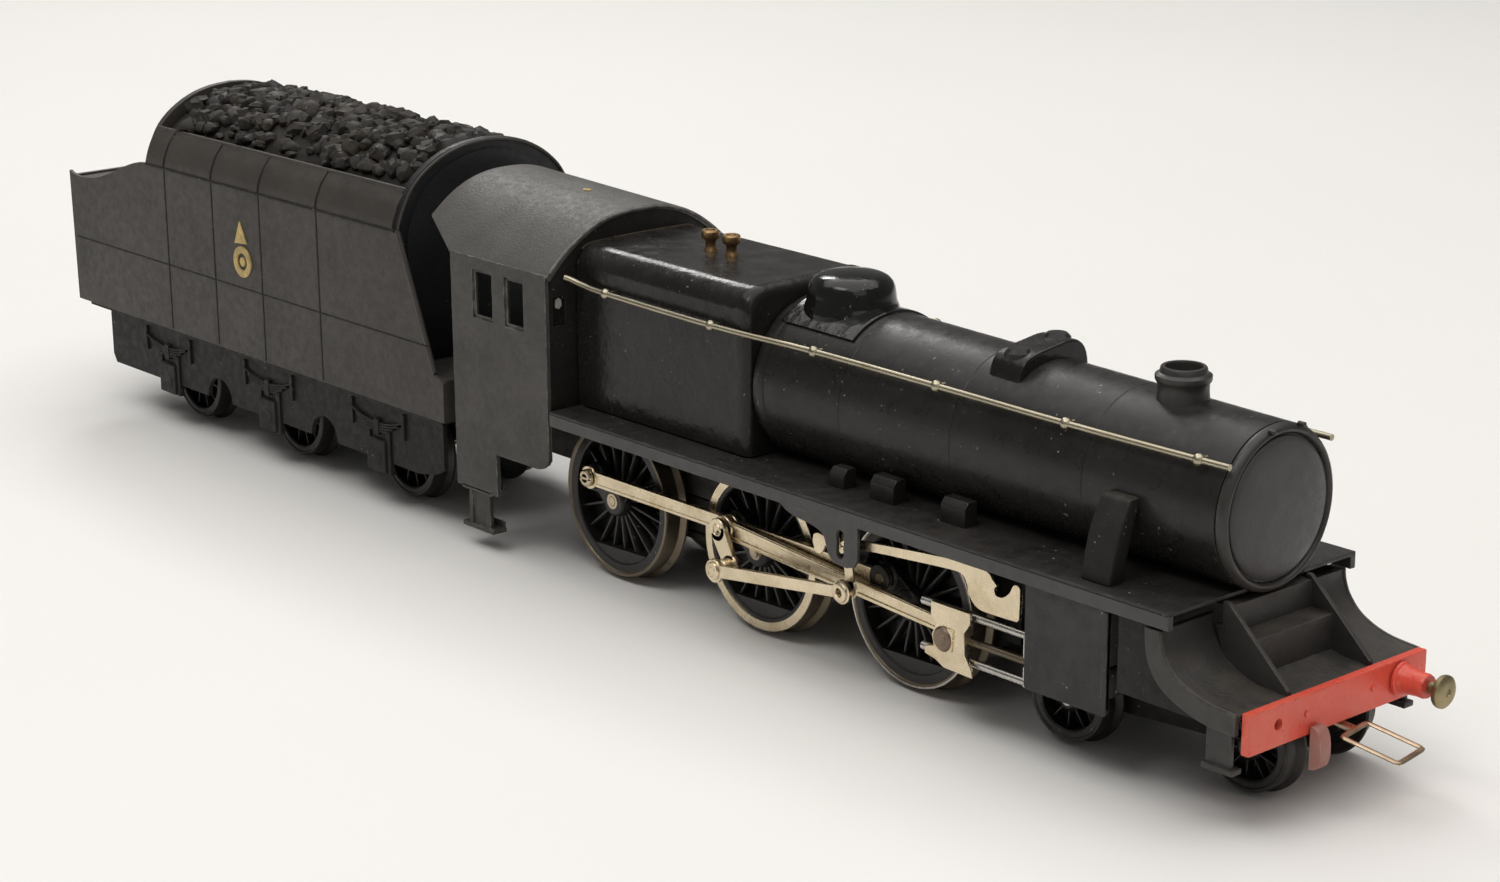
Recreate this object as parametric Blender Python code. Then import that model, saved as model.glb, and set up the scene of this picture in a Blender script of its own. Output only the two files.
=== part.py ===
"""Model steam locomotive, 4-6-0 wheel arrangement, with a six-wheel tender.

X runs forward, +Z up, and the locomotive's right-hand side faces -Y.
Lengths are drawn in "drawing millimetres" for a 24 mm driving wheel, with the
middle driving axle over X = 0 and the rail at Z = 0.  place() turns them into
metres: the real driving wheel measures 22.9 mm across its tread.
"""
import math

import bmesh
import bpy
from mathutils import Matrix, Vector

# ---------------------------------------------------------------- dimensions
SCALE = 0.955 * 0.001      # metres for each drawing millimetre
SHIFT_X = 39.3             # puts X = 0 midway between the two ends
SHIFT_Z = 0.8              # puts Z = 0 under the wheel flanges
GAP = 0.3                  # clearance between touching pieces

DRIVER_X = (-32.8, 0.0, 31.1)
DRIVER_R = 12.0
CRANK_R = 5.1
CRANK_DEG = {-1: 141.5, 1: 51.5}    # the two sides are a quarter turn apart
RETURN_R = 2.0
RETURN_LAG_DEG = 91.6
CON_ROD_LEN = 47.1
ECC_ROD_LEN = 26.75
LINK_TOP = (24.4, 20.4)
LINK_LEN = 6.5
FLANGE = 0.8
BACK_Y = 7.6               # wheel back, from the centre line
FACE_Y = 11.4              # wheel face, from the centre line

BOGIE_X = 51.0             # the bogie swings on an arm about this point
BOGIE_AXLES = {"rear": 6.6, "front": 33.4}
BOGIE_YAW_DEG = 9.0        # the bogie stands swung a little to the left
BOGIE_R = 5.8
BODY_SCREW_X = 69.5

HALF_WIDTH = 18.2
PLATE_Z = 25.7             # top of the running plate
PLATE_REAR = -40.2
PLATE_FRONT = 82.7
CAB_REAR = -64.5
CAB_FRONT = -40.5

TENDER_AXLES = (-88.0, -121.0, -154.0)
TENDER_R = 7.9
TENDER_FRONT = -67.5
TENDER_REAR = -183.5
DRAWBAR_FRONT = -59.0
DRAWBAR_REAR = -71.5

# -------------------------------------------------------------------- helpers
for leftover in list(bpy.data.objects):
    bpy.data.objects.remove(leftover)

SCENE = bpy.context.scene


def material(name, colour, roughness, metallic=0.0):
    """Make one Principled material."""
    made = bpy.data.materials.new(name)
    made.use_nodes = True
    shader = made.node_tree.nodes["Principled BSDF"]
    shader.inputs["Base Color"].default_value = (*colour, 1.0)
    shader.inputs["Roughness"].default_value = roughness
    shader.inputs["Metallic"].default_value = metallic
    made.diffuse_color = (*colour, 1.0)
    return made


def from_bmesh(bm, name="shape"):
    """Turn a bmesh drawn in drawing millimetres into an object."""
    bmesh.ops.recalc_face_normals(bm, faces=bm.faces)
    mesh = bpy.data.meshes.new(name)
    bm.to_mesh(mesh)
    bm.free()
    obj = bpy.data.objects.new(name, mesh)
    SCENE.collection.objects.link(obj)
    return obj


def block(x0, x1, y0, y1, z0, z1):
    """Box between two corners."""
    bm = bmesh.new()
    bmesh.ops.create_cube(bm, size=1.0)
    size = Matrix.Diagonal((x1 - x0, y1 - y0, z1 - z0, 1.0))
    middle = Matrix.Translation(((x0 + x1) / 2, (y0 + y1) / 2, (z0 + z1) / 2))
    bm.transform(middle @ size)
    return from_bmesh(bm)


def loft(rings, closed=False):
    """Skin equal rings of points; closed joins the last ring to the first."""
    bm = bmesh.new()
    rows = [[bm.verts.new(point) for point in ring] for ring in rings]
    count = len(rows[0])
    pairs = list(zip(rows, rows[1:]))
    if closed:
        pairs.append((rows[-1], rows[0]))
    for near, far in pairs:
        for i in range(count):
            j = (i + 1) % count
            bm.faces.new((near[i], near[j], far[j], far[i]))
    if not closed:
        bm.faces.new(rows[0])
        bm.faces.new(rows[-1])
    return from_bmesh(bm)


def slab(points, axis, low, high):
    """Extrude a flat outline along one axis, in X Z, Y Z or X Y order."""
    def spot(a, b, along):
        if axis == "Y":
            return (a, along, b)
        if axis == "X":
            return (along, a, b)
        return (a, b, along)
    return loft([[spot(a, b, low) for a, b in points],
                 [spot(a, b, high) for a, b in points]])


def turned(profile, axis, centre, segments=24):
    """Revolve (along, radius) points; the ends may sit on the axis."""
    bm = bmesh.new()
    turns = [math.tau * (k + 0.5) / segments for k in range(segments)]

    def spot(along, a, b):
        if axis == "X":
            return (centre[0] + along, centre[1] + a, centre[2] + b)
        if axis == "Y":
            return (centre[0] + a, centre[1] + along, centre[2] + b)
        return (centre[0] + a, centre[1] + b, centre[2] + along)

    rows = []
    for along, radius in profile:
        if radius < 1e-6:
            rows.append([bm.verts.new(spot(along, 0.0, 0.0))])
        else:
            rows.append([bm.verts.new(spot(along, radius * math.cos(t), radius * math.sin(t)))
                         for t in turns])
    for near, far in zip(rows, rows[1:]):
        for i in range(segments):
            j = (i + 1) % segments
            if len(near) == 1:
                bm.faces.new((near[0], far[j], far[i]))
            elif len(far) == 1:
                bm.faces.new((near[i], near[j], far[0]))
            else:
                bm.faces.new((near[i], near[j], far[j], far[i]))
    for row in (rows[0], rows[-1]):
        if len(row) > 1:
            bm.faces.new(row)
    return from_bmesh(bm)


def drum(axis, centre, radius, low, high, segments=16):
    """Plain cylinder between two stations along an axis."""
    return turned([(low, radius), (high, radius)], axis, centre, segments)


def combine(base, others, operation):
    """Apply exact Booleans one after another and drop the tools."""
    for other in others:
        step = base.modifiers.new("step", "BOOLEAN")
        step.operation = operation
        step.solver = "EXACT"
        step.object = other
        bpy.context.view_layer.update()
        graph = bpy.context.evaluated_depsgraph_get()
        result = bpy.data.meshes.new_from_object(base.evaluated_get(graph))
        base.modifiers.clear()
        base.data = result
        bpy.data.objects.remove(other)
    return base


def join(base, *others):
    return combine(base, others, "UNION")


def cut(base, *others):
    return combine(base, others, "DIFFERENCE")


def mirrored(obj):
    """Copy of a shape on the other side of the centre line."""
    bm = bmesh.new()
    bm.from_mesh(obj.data)
    bm.transform(Matrix.Diagonal((1.0, -1.0, 1.0, 1.0)))
    bmesh.ops.reverse_faces(bm, faces=bm.faces)
    return from_bmesh(bm)


def rotated(obj, pivot, axis, degrees):
    """Turn a shape about a pivot."""
    turn = Matrix.Rotation(math.radians(degrees), 4, axis)
    there = Matrix.Translation(pivot)
    obj.data.transform(there @ turn @ there.inverted())
    return obj


def place(obj, name, finish, origin=(0.0, 0.0, 0.0), smooth=False):
    """Scale a finished shape to metres with its origin on its own pivot."""
    bm = bmesh.new()
    bm.from_mesh(obj.data)
    bmesh.ops.remove_doubles(bm, verts=bm.verts, dist=1e-4)
    bmesh.ops.dissolve_degenerate(bm, edges=bm.edges, dist=1e-4)
    bmesh.ops.recalc_face_normals(bm, faces=bm.faces)
    bm.transform(Matrix.Scale(SCALE, 4) @ Matrix.Translation(-Vector(origin)))
    for face in bm.faces:
        face.smooth = smooth
    if smooth:
        for edge in bm.edges:
            if len(edge.link_faces) == 2 and edge.calc_face_angle() > math.radians(35):
                edge.smooth = False
    mesh = bpy.data.meshes.new(name)
    bm.to_mesh(mesh)
    bm.free()
    bpy.data.objects.remove(obj)
    made = bpy.data.objects.new(name, mesh)
    made.location = ((origin[0] + SHIFT_X) * SCALE, origin[1] * SCALE,
                     (origin[2] + SHIFT_Z) * SCALE)
    mesh.materials.append(finish)
    SCENE.collection.objects.link(made)
    return made


def side_name(side):
    return "left" if side > 0 else "right"


def span(side, near, far):
    """Y limits of a layer that lies between two distances from the centre."""
    return (near, far) if side > 0 else (-far, -near)


def on_circle(centre, radius, degrees):
    angle = math.radians(degrees)
    return (centre[0] + radius * math.cos(angle), centre[1] + radius * math.sin(angle))


# ------------------------------------------------------------------ materials
BODY = material("body_black", (0.022, 0.021, 0.020), 0.42)
GLOSS = material("gloss_black", (0.012, 0.012, 0.012), 0.18)
CAB_PAINT = material("cab_black", (0.045, 0.044, 0.042), 0.55)
TENDER_PAINT = material("tender_black", (0.035, 0.033, 0.030), 0.5)
FRAME_PAINT = material("frame_black", (0.012, 0.011, 0.010), 0.6)
RED = material("beam_red", (0.62, 0.05, 0.03), 0.35)
BRASS = material("brass", (0.55, 0.42, 0.2), 0.35, 1.0)
NICKEL = material("nickel_silver", (0.72, 0.62, 0.45), 0.3, 1.0)
STEEL = material("steel", (0.6, 0.58, 0.55), 0.25, 1.0)
WHEEL = material("wheel_black", (0.02, 0.019, 0.018), 0.5)
COAL = material("coal", (0.02, 0.018, 0.016), 0.7)
MOTOR = material("motor_can", (0.3, 0.29, 0.28), 0.4, 0.8)
GEAR = material("gear_brass", (0.6, 0.44, 0.2), 0.4, 1.0)


# --------------------------------------------------------------- boiler group
def boiler_ring(x, grow, points=28, flat=26.0):
    """One ring of the tapered boiler, cut flat where it sits on the plate."""
    along = (82.9 - x) / 83.8
    radius = 10.83 + 1.37 * along + grow
    middle = 35.66 + 0.54 * along
    ring = []
    for k in range(points):
        turn = math.tau * (k + 0.5) / points
        z = max(middle + radius * math.sin(turn), flat)
        ring.append((x, radius * math.cos(turn), z))
    return ring


def boiler_stencil():
    """Boiler shape grown by the clearance, for seating fittings on it."""
    return loft([boiler_ring(82.9, GAP, 28, 20.0), boiler_ring(-0.9, GAP, 28, 20.0)])


shell = loft([boiler_ring(82.9, 0.0), boiler_ring(-0.6, 0.0),
              boiler_ring(-0.6, -1.1, 28, 27.1), boiler_ring(82.9, -1.1, 28, 27.1)], closed=True)
place(shell, "boiler", BODY, smooth=True)

door = turned([(83.2, 0.0), (83.2, 10.83), (84.4, 10.83), (84.7, 10.5), (84.7, 9.6),
               (84.2, 9.3), (85.0, 6.4), (85.5, 0.0)],
              "X", (0.0, 0.0, 35.66), 24)
place(door, "smokebox_door", BODY, smooth=True)

chimney = turned([(0.0, 4.3), (10.6, 4.2), (12.0, 3.5), (14.2, 3.35), (14.8, 3.65), (15.5, 3.65),
                  (15.8, 3.1), (16.5, 2.9), (16.5, 2.3), (13.4, 2.1), (13.4, 0.0)],
                 "Z", (68.3, 0.0, 34.3), 20)
place(cut(chimney, boiler_stencil()), "chimney", BODY, smooth=True)

dome = turned([(0.0, 7.3), (11.6, 7.2), (12.6, 6.7), (14.6, 6.4), (15.8, 5.8), (16.5, 4.7),
               (16.9, 2.6), (17.0, 0.0)], "Z", (7.0, 0.0, 35.7), 24)
place(cut(dome, boiler_stencil()), "dome", GLOSS, smooth=True)

feed = slab([(-6.8, 40.0), (-6.8, 46.2), (-5.4, 48.2), (-3.4, 48.9), (3.4, 49.9), (5.2, 49.2),
             (6.8, 46.8), (6.8, 40.0)], "X", 40.2, 46.4)
place(cut(feed, boiler_stencil()), "top_feed", BODY)


# -------------------------------------------------------------------- firebox
def firebox_half(side_y, top, drop=0.0):
    """Right-to-left outline of the square-topped firebox."""
    half = [(side_y, 26.0), (side_y, 45.6), (side_y - 0.4, 47.4), (side_y - 1.4, top - 1.3),
            (side_y - 3.1, top - 0.2 - drop)]
    return half + [(-y, z) for y, z in reversed(half)]


outer = [[(x, y, z) for y, z in firebox_half(12.6, top)]
         for x, top in ((-0.9, 50.2), (-39.9, 50.5))]
firebox = loft(outer)
hollow = loft([[(x, y * 0.9, z - 1.3 if z > 30 else 20.0) for y, z in firebox_half(12.6, top)]
               for x, top in ((-2.2, 50.2), (-41.0, 50.5))])
place(cut(firebox, hollow), "firebox", BODY)

for number, x in enumerate((-23.6, -18.9), 1):
    valve = turned([(0.0, 0.0), (0.0, 1.1), (0.5, 0.8), (1.6, 0.9), (1.9, 1.4), (2.7, 1.3),
                    (2.7, 0.0)], "Z", (x, 0.0, 50.6), 10)
    place(valve, f"safety_valve_{number}", BRASS, smooth=True)


# ------------------------------------------------------------------ handrails
def tube(path, radius, sides=5):
    """Round bar through a list of points."""
    rings = []
    for i, point in enumerate(path):
        here = Vector(point)
        before = Vector(path[max(i - 1, 0)])
        after = Vector(path[min(i + 1, len(path) - 1)])
        along = (after - before).normalized()
        level = Vector((0, 0, 1)).cross(along).normalized()
        rise = along.cross(level)
        rings.append([here + radius * (math.cos(a) * level + math.sin(a) * rise)
                      for a in (math.tau * k / sides for k in range(sides))])
    return loft(rings)


RAIL_PATH = ((-39.6, -15.1, 46.1), (-37.4, -13.9, 44.9), (-7.4, -13.9, 44.4),
             (12.0, -11.8, 43.9), (35.2, -11.0, 43.5), (57.9, -10.3, 43.0),
             (79.6, -9.9, 42.9), (84.4, -9.8, 42.9))
KNOBS = ((-31.3, -13.9, 44.8), RAIL_PATH[2], RAIL_PATH[3], RAIL_PATH[4], RAIL_PATH[5],
         RAIL_PATH[6])


def handrail():
    rail = tube(RAIL_PATH, 0.45)
    for x, y, z in KNOBS:
        knob = turned([(-0.9, 0.4), (0.0, 0.95), (0.9, 0.4)], "Y", (x, y, z), 6)
        rail = join(rail, knob)
    return rail


right_rail = handrail()
left_rail = mirrored(right_rail)
place(right_rail, "handrail_right", BRASS, smooth=True)
place(left_rail, "handrail_left", BRASS, smooth=True)


# ------------------------------------------------------------------------ cab
def roof_z(y, lift=0.0):
    return 46.4 + (8.3 + lift) * (1.0 - (abs(y) / HALF_WIDTH) ** 2.4)


def roof(thick=0.9):
    """Arched sheet, narrower over its rear overhang and rising slightly aft."""
    half = (3.5, 7.0, 10.2, 13.0, 15.3, 17.0, HALF_WIDTH)
    steps = [-y for y in reversed(half)] + [0.0] + list(half)
    stations = ((-40.2, 0.0, 1.0), (-64.7, 1.0, 1.0), (-74.0, 1.4, 0.815))
    bm = bmesh.new()
    top = [[bm.verts.new((x, y * wide, roof_z(y * wide, lift))) for y in steps]
           for x, lift, wide in stations]
    low = [[bm.verts.new((x, y * wide * 0.956, roof_z(y * wide, lift) - thick)) for y in steps]
           for x, lift, wide in stations]
    cells = {(i, j) for i in range(len(stations) - 1) for j in range(len(steps) - 1)}
    for i, j in cells:
        corners = ((i, j), (i + 1, j), (i + 1, j + 1), (i, j + 1))
        bm.faces.new([top[a][b] for a, b in corners])
        bm.faces.new([low[a][b] for a, b in corners])
        beyond = ((i, j - 1), (i + 1, j), (i, j + 1), (i - 1, j))
        for k, cell in enumerate(beyond):
            if cell not in cells:
                (a, b), (c, d) = corners[k], corners[(k + 1) % 4]
                bm.faces.new((top[a][b], top[c][d], low[c][d], low[a][b]))
    return from_bmesh(bm)


def cab():
    side = slab([(CAB_REAR, 46.1), (CAB_REAR, 9.0), (-54.4, 9.0), (-54.4, 15.9), (-43.4, 15.9),
                 (-41.5, 16.8), (CAB_FRONT, 18.8), (CAB_FRONT, 46.1)], "Y", -18.2, -17.4)
    cut(side, block(-58.9, -53.9, -19, -17, 37.0, 44.7), block(-50.8, -46.0, -19, -17, 37.0, 44.9))
    hanger = block(-61.8, -56.3, -18.0, -17.3, 3.0, 9.5)
    tread = block(-63.4, -55.4, -18.2, -15.4, 2.4, 3.2)
    upper_tread = block(-63.4, -54.6, -18.2, -15.6, 8.6, 9.4)
    right = join(side, hanger, tread, upper_tread)
    left = mirrored(right)
    front = slab([(-17.8, 26.0), (-17.8, 46.3)]
                 + [(y * 0.98, roof_z(y) - 0.4) for y in (-14, -10, -5, 0, 5, 10, 14)]
                 + [(17.8, 46.3), (17.8, 26.0)], "X", -41.4, CAB_FRONT)
    opening = block(-43, -39, -11.5, 11.5, 20.0, 47.6)
    cut(front, opening, block(-43, -39, -16.6, -14.3, 38.5, 43.0),
        block(-43, -39, 14.3, 16.6, 38.5, 43.0))
    floor = block(-64.2, -41.5, -17.8, 17.8, 24.9, 25.9)
    sill = block(-41.6, CAB_FRONT, -17.8, 17.8, 24.9, 26.2)
    return join(front, sill, floor, right, left, roof())


place(cab(), "cab", CAB_PAINT)


# -------------------------------------------------------------- running plate
def running_plate():
    plate = block(PLATE_REAR, PLATE_FRONT, -HALF_WIDTH, HALF_WIDTH, 25.1, PLATE_Z)
    cut(plate, block(-37.5, 33.0, -6.6, 6.6, 24, 27))
    bracket = slab([(12.0, 24.0), (12.0, 23.2), (14.2, 22.3), (18.0, 21.8), (20.4, 21.2),
                    (21.3, 19.6), (22.2, 17.9), (25.5, 17.2), (27.0, 17.8), (27.6, 19.0),
                    (27.6, 24.0)], "Y", -HALF_WIDTH, -17.5)
    cut(bracket, block(23.4, 25.0, -19, -17, 18.5, 22.0))
    edge = block(PLATE_REAR, PLATE_FRONT, -HALF_WIDTH, -17.2, 23.4, 25.4)
    right = join(edge, bracket)
    left = mirrored(right)
    plate = join(plate, right, left)
    for x, half, height in ((17.5, 1.5, 2.8), (26.5, 2.3, 3.4), (40.1, 2.3, 3.4)):
        plate = join(plate, block(x - half, x + half, -12.6, -10.2, 25.5, PLATE_Z + height))
    pipe = slab([(-14.4, 25.5), (-13.0, 31.5), (-11.6, 36.0), (-12.9, 36.5), (-15.0, 32.0),
                 (-16.4, 25.5)], "X", 66.0, 71.5)
    return join(plate, mirrored(pipe), pipe)


place(running_plate(), "running_plate", BODY)


# ------------------------------------------------------------------ front end
CURVE = ((81.3, 23.1), (81.5, 21.6), (82.4, 19.6), (84.6, 17.5), (88.6, 16.0), (93.6, 15.5))
UNDER = ((93.6, 14.6), (88.3, 15.0), (83.9, 16.6), (81.5, 19.0), (80.4, 21.4), (80.1, 23.1))


def front_end():
    sweep = slab(CURVE + UNDER, "Y", -17.8, 17.8)
    edge = slab(CURVE + ((93.6, 12.9), (88.0, 13.3), (82.4, 15.4), (79.6, 18.6), (78.9, 23.1)),
                "Y", -HALF_WIDTH, -17.2)
    inset = slab([(74.0, 23.1), (74.0, 13.0), (88.0, 13.0), (88.0, 15.3), (84.0, 17.0),
                  (82.0, 19.4), (80.6, 23.1)], "Y", -17.3, -16.6)
    web = slab([(81.6, 22.0), (83.0, 22.0), (83.0, 25.2), (84.0, 25.2), (93.6, 16.2),
                (93.6, 15.0), (84.0, 16.6)], "Y", -8.4, -7.6)
    hanger = block(88.6, 92.6, -17.4, -16.7, 7.9, 15.4)
    tread = block(88.3, 93.2, -17.9, -16.0, 7.5, 8.3)
    right = join(edge, inset, web, hanger, tread)
    left = mirrored(right)
    step = block(83.0, 87.6, -8.0, 8.0, 15.8, 21.0)
    neck = block(74.0, 84.0, -6.0, 6.0, 18.0, 24.8)
    return join(sweep, right, left, step, neck)


place(front_end(), "front_platform", BODY)

beam = block(93.9, 95.2, -17.3, 17.3, 10.5, 15.9)
cut(beam, drum("X", (0, -11.9, 13.4), 0.9, 90, 99, 10), drum("X", (0, 11.9, 13.4), 1.1, 90, 99, 10))
place(beam, "buffer_beam", RED)
stock = turned([(95.5, 0.0), (95.5, 2.4), (96.3, 2.4), (96.6, 1.8), (99.6, 1.5), (99.6, 0.0)],
               "X", (0, 11.9, 13.4), 12)
place(stock, "buffer_stock_left", RED, smooth=True)
head = turned([(99.9, 0.0), (99.9, 0.9), (101.2, 0.9), (101.5, 2.45), (102.1, 2.6), (102.5, 2.1),
               (102.6, 0.0)], "X", (0, 11.9, 13.4), 12)
place(head, "buffer_head_left", BRASS, smooth=True)
hook = slab([(95.5, 11.9), (96.5, 11.9), (97.2, 10.8), (97.3, 7.6), (96.6, 6.0), (95.5, 6.0)],
            "Y", -6.3, -4.0)
place(hook, "draw_hook", RED)

LOOP_PIVOT = (87.0, 0.0, 11.4)


def coupling_loop():
    """Flat wire loop, drawn level and then drooped and swung."""
    tongue = block(85.4, 97.0, -0.9, 0.9, 11.15, 11.65)
    frame = block(96.2, 105.2, -3.6, 3.6, 11.15, 11.65)
    cut(frame, block(97.3, 104.2, -2.7, 2.7, 11, 13))
    loop = join(frame, tongue)
    cut(loop, drum("Z", (87.0, 0, 0), 0.75, 10, 14, 10))
    rotated(loop, LOOP_PIVOT, "Y", 11.0)
    return rotated(loop, LOOP_PIVOT, "Z", 9.0)


place(coupling_loop(), "coupling_loop", BRASS, LOOP_PIVOT)
pin = turned([(9.6, 0.0), (9.6, 1.5), (10.3, 1.5), (10.3, 0.45), (14.2, 0.45), (14.2, 0.0)],
             "Z", (87.0, 0.0, 0.0), 10)
place(pin, "coupling_pin", STEEL, smooth=True)


# -------------------------------------------------------------------- chassis
def chassis():
    frame = block(-58.0, 56.5, -6.2, 6.2, 9.0, 24.7)
    cut(frame, block(-38.3, -10.2, -8, 8, 14.3, 30), block(47.0, 60.0, -8, 8, 0, 14.4),
        block(-70, -49.0, -8, 8, 0, 13.6), block(-60, -57.0, -8, 8, 13, 15.6),
        block(-10.4, 8.0, -2.6, 2.6, 0, 26))
    for x in DRIVER_X:
        cut(frame, drum("Y", (x, 0, DRIVER_R), 1.85, -8, 8))
    cut(frame, drum("Z", (BOGIE_X, 0, 0), 1.2, 10, 30, 10),
        drum("Z", (DRAWBAR_FRONT, 0, 0), 0.9, 10, 30, 10))
    return frame


place(chassis(), "chassis_block", FRAME_PAINT)
keeper = block(-45.0, 43.0, -6.2, 6.2, 7.6, 8.7)
cut(keeper, block(-8.0, 8.0, -2.6, 2.6, 0, 12))
place(keeper, "keeper_plate", FRAME_PAINT)
screw = turned([(14.2, 0.0), (14.2, 1.9), (15.7, 1.9), (15.7, 0.7), (24.8, 0.7), (24.8, 0.0)],
               "Z", (BODY_SCREW_X, 0, 0), 10)
place(screw, "body_screw", STEEL, smooth=True)

motor = block(-37.2, -14.2, -6.2, 6.2, 14.6, 33.0)
cut(motor, drum("X", (0, 0, 21.0), 1.2, -40, -12, 12))
place(motor, "motor", MOTOR)
WORM = (-9.0, 0.0, 21.0)
worm = turned([(-27.5, 0.0), (-27.5, 0.75), (-4.0, 0.75), (-4.0, 2.1), (5.5, 2.1), (5.5, 0.0)],
              "X", (0, 0, 21.0), 12)
place(worm, "worm_shaft", STEEL, WORM, smooth=True)


def cylinders():
    outer_plate = slab([(58.2, 23.1), (58.2, 9.4), (58.7, 8.9), (71.9, 8.9), (72.4, 9.4),
                        (72.4, 23.1)], "Y", -17.5, -16.7)
    chest = block(58.2, 72.4, -17.2, -12.0, 15.6, 23.1)
    rear_cover = block(58.2, 59.4, -17.2, -14.6, 9.6, 16.0)
    cut(rear_cover, drum("X", (0, -15.9, 12.0), 0.9, 50, 70, 10))
    right = join(outer_plate, chest, rear_cover)
    left = mirrored(right)
    bridge = block(60.0, 72.0, -12.5, 12.5, 16.0, 21.6)
    cut(bridge, drum("Z", (BODY_SCREW_X, 0, 0), 0.9, 10, 30, 10))
    return join(bridge, right, left)


place(cylinders(), "cylinder_block", BODY)

# ----------------------------------------------------------------- wheelsets
def wheelset_profile(radius, axle, hub, hub_face, rim=1.5):
    """Half profile from the middle of the axle out to one wheel's hub face."""
    return [(BACK_Y, axle), (BACK_Y, radius + FLANGE), (BACK_Y + 0.8, radius + FLANGE),
            (BACK_Y + 1.2, radius), (FACE_Y, radius), (FACE_Y, radius - rim),
            (FACE_Y - 1.3, radius - rim), (FACE_Y - 1.3, hub), (hub_face, hub),
            (hub_face, 0.0)]


def wheelset(x, z, radius, axle, hub, hub_face, segments, rim=1.5):
    half = wheelset_profile(radius, axle, hub, hub_face, rim)
    whole = [(-y, r) for y, r in reversed(half)] + half
    return turned(whole, "Y", (x, 0.0, z), segments)


def crank_spot(x, side):
    return on_circle((x, DRIVER_R), CRANK_R, CRANK_DEG[side])


PIN_END = {"front": 13.65, "middle": 15.0, "rear": 14.4}
for name, x in zip(("rear", "middle", "front"), DRIVER_X):
    wheels = wheelset(x, DRIVER_R, DRIVER_R, 1.5, 2.6, 12.2, 24)
    for side in (-1, 1):
        px, pz = crank_spot(x, side)
        low, high = span(side, FACE_Y - 1.6, 12.4)
        wheels = join(wheels, drum("Y", (px, 0, pz), 2.1, low, high, 12))
        low, high = span(side, 12.0, PIN_END[name])
        wheels = join(wheels, drum("Y", (px, 0, pz), 0.85, low, high, 8))
    place(wheels, f"driver_{name}", WHEEL, (x, 0.0, DRIVER_R), smooth=True)

gear = turned([(-1.6, 1.8), (-1.6, 6.4), (1.6, 6.4), (1.6, 1.8)], "Y", (0, 0, DRIVER_R), 16)
cut(gear, drum("Y", (0, 0, DRIVER_R), 1.75, -3, 3, 10))
place(gear, "drive_gear", GEAR, (0, 0, DRIVER_R), smooth=True)


# --------------------------------------------------------------- motion, rods
def bar(start, finish, height, low, high):
    """Straight rod between two pin centres in the X Z plane."""
    ax, az = start
    bx, bz = finish
    length = math.hypot(bx - ax, bz - az)
    ux, uz = (bx - ax) / length, (bz - az) / length
    h = height / 2
    points = [(ax - uz * h, az + ux * h), (ax + uz * h, az - ux * h),
              (bx + uz * h, bz - ux * h), (bx - uz * h, bz + ux * h)]
    return slab(points, "Y", low, high)


def eyes(rod, spots, bosses, hole, low, high):
    """Round ends with holes at the pin centres."""
    for (x, z), boss in zip(spots, bosses):
        rod = join(rod, drum("Y", (x, 0, z), boss, low, high, 12))
    for x, z in spots:
        rod = cut(rod, drum("Y", (x, 0, z), hole, low - 2, high + 2, 8))
    return rod


def meet(a, ra, b, rb):
    """Lower crossing point of two circles in the X Z plane."""
    dx, dz = b[0] - a[0], b[1] - a[1]
    d = math.hypot(dx, dz)
    along = (ra * ra - rb * rb + d * d) / (2 * d)
    rise = math.sqrt(ra * ra - along * along)
    mx, mz = a[0] + along * dx / d, a[1] + along * dz / d
    spots = ((mx + rise * dz / d, mz - rise * dx / d), (mx - rise * dz / d, mz + rise * dx / d))
    return min(spots, key=lambda spot: spot[1])


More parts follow.
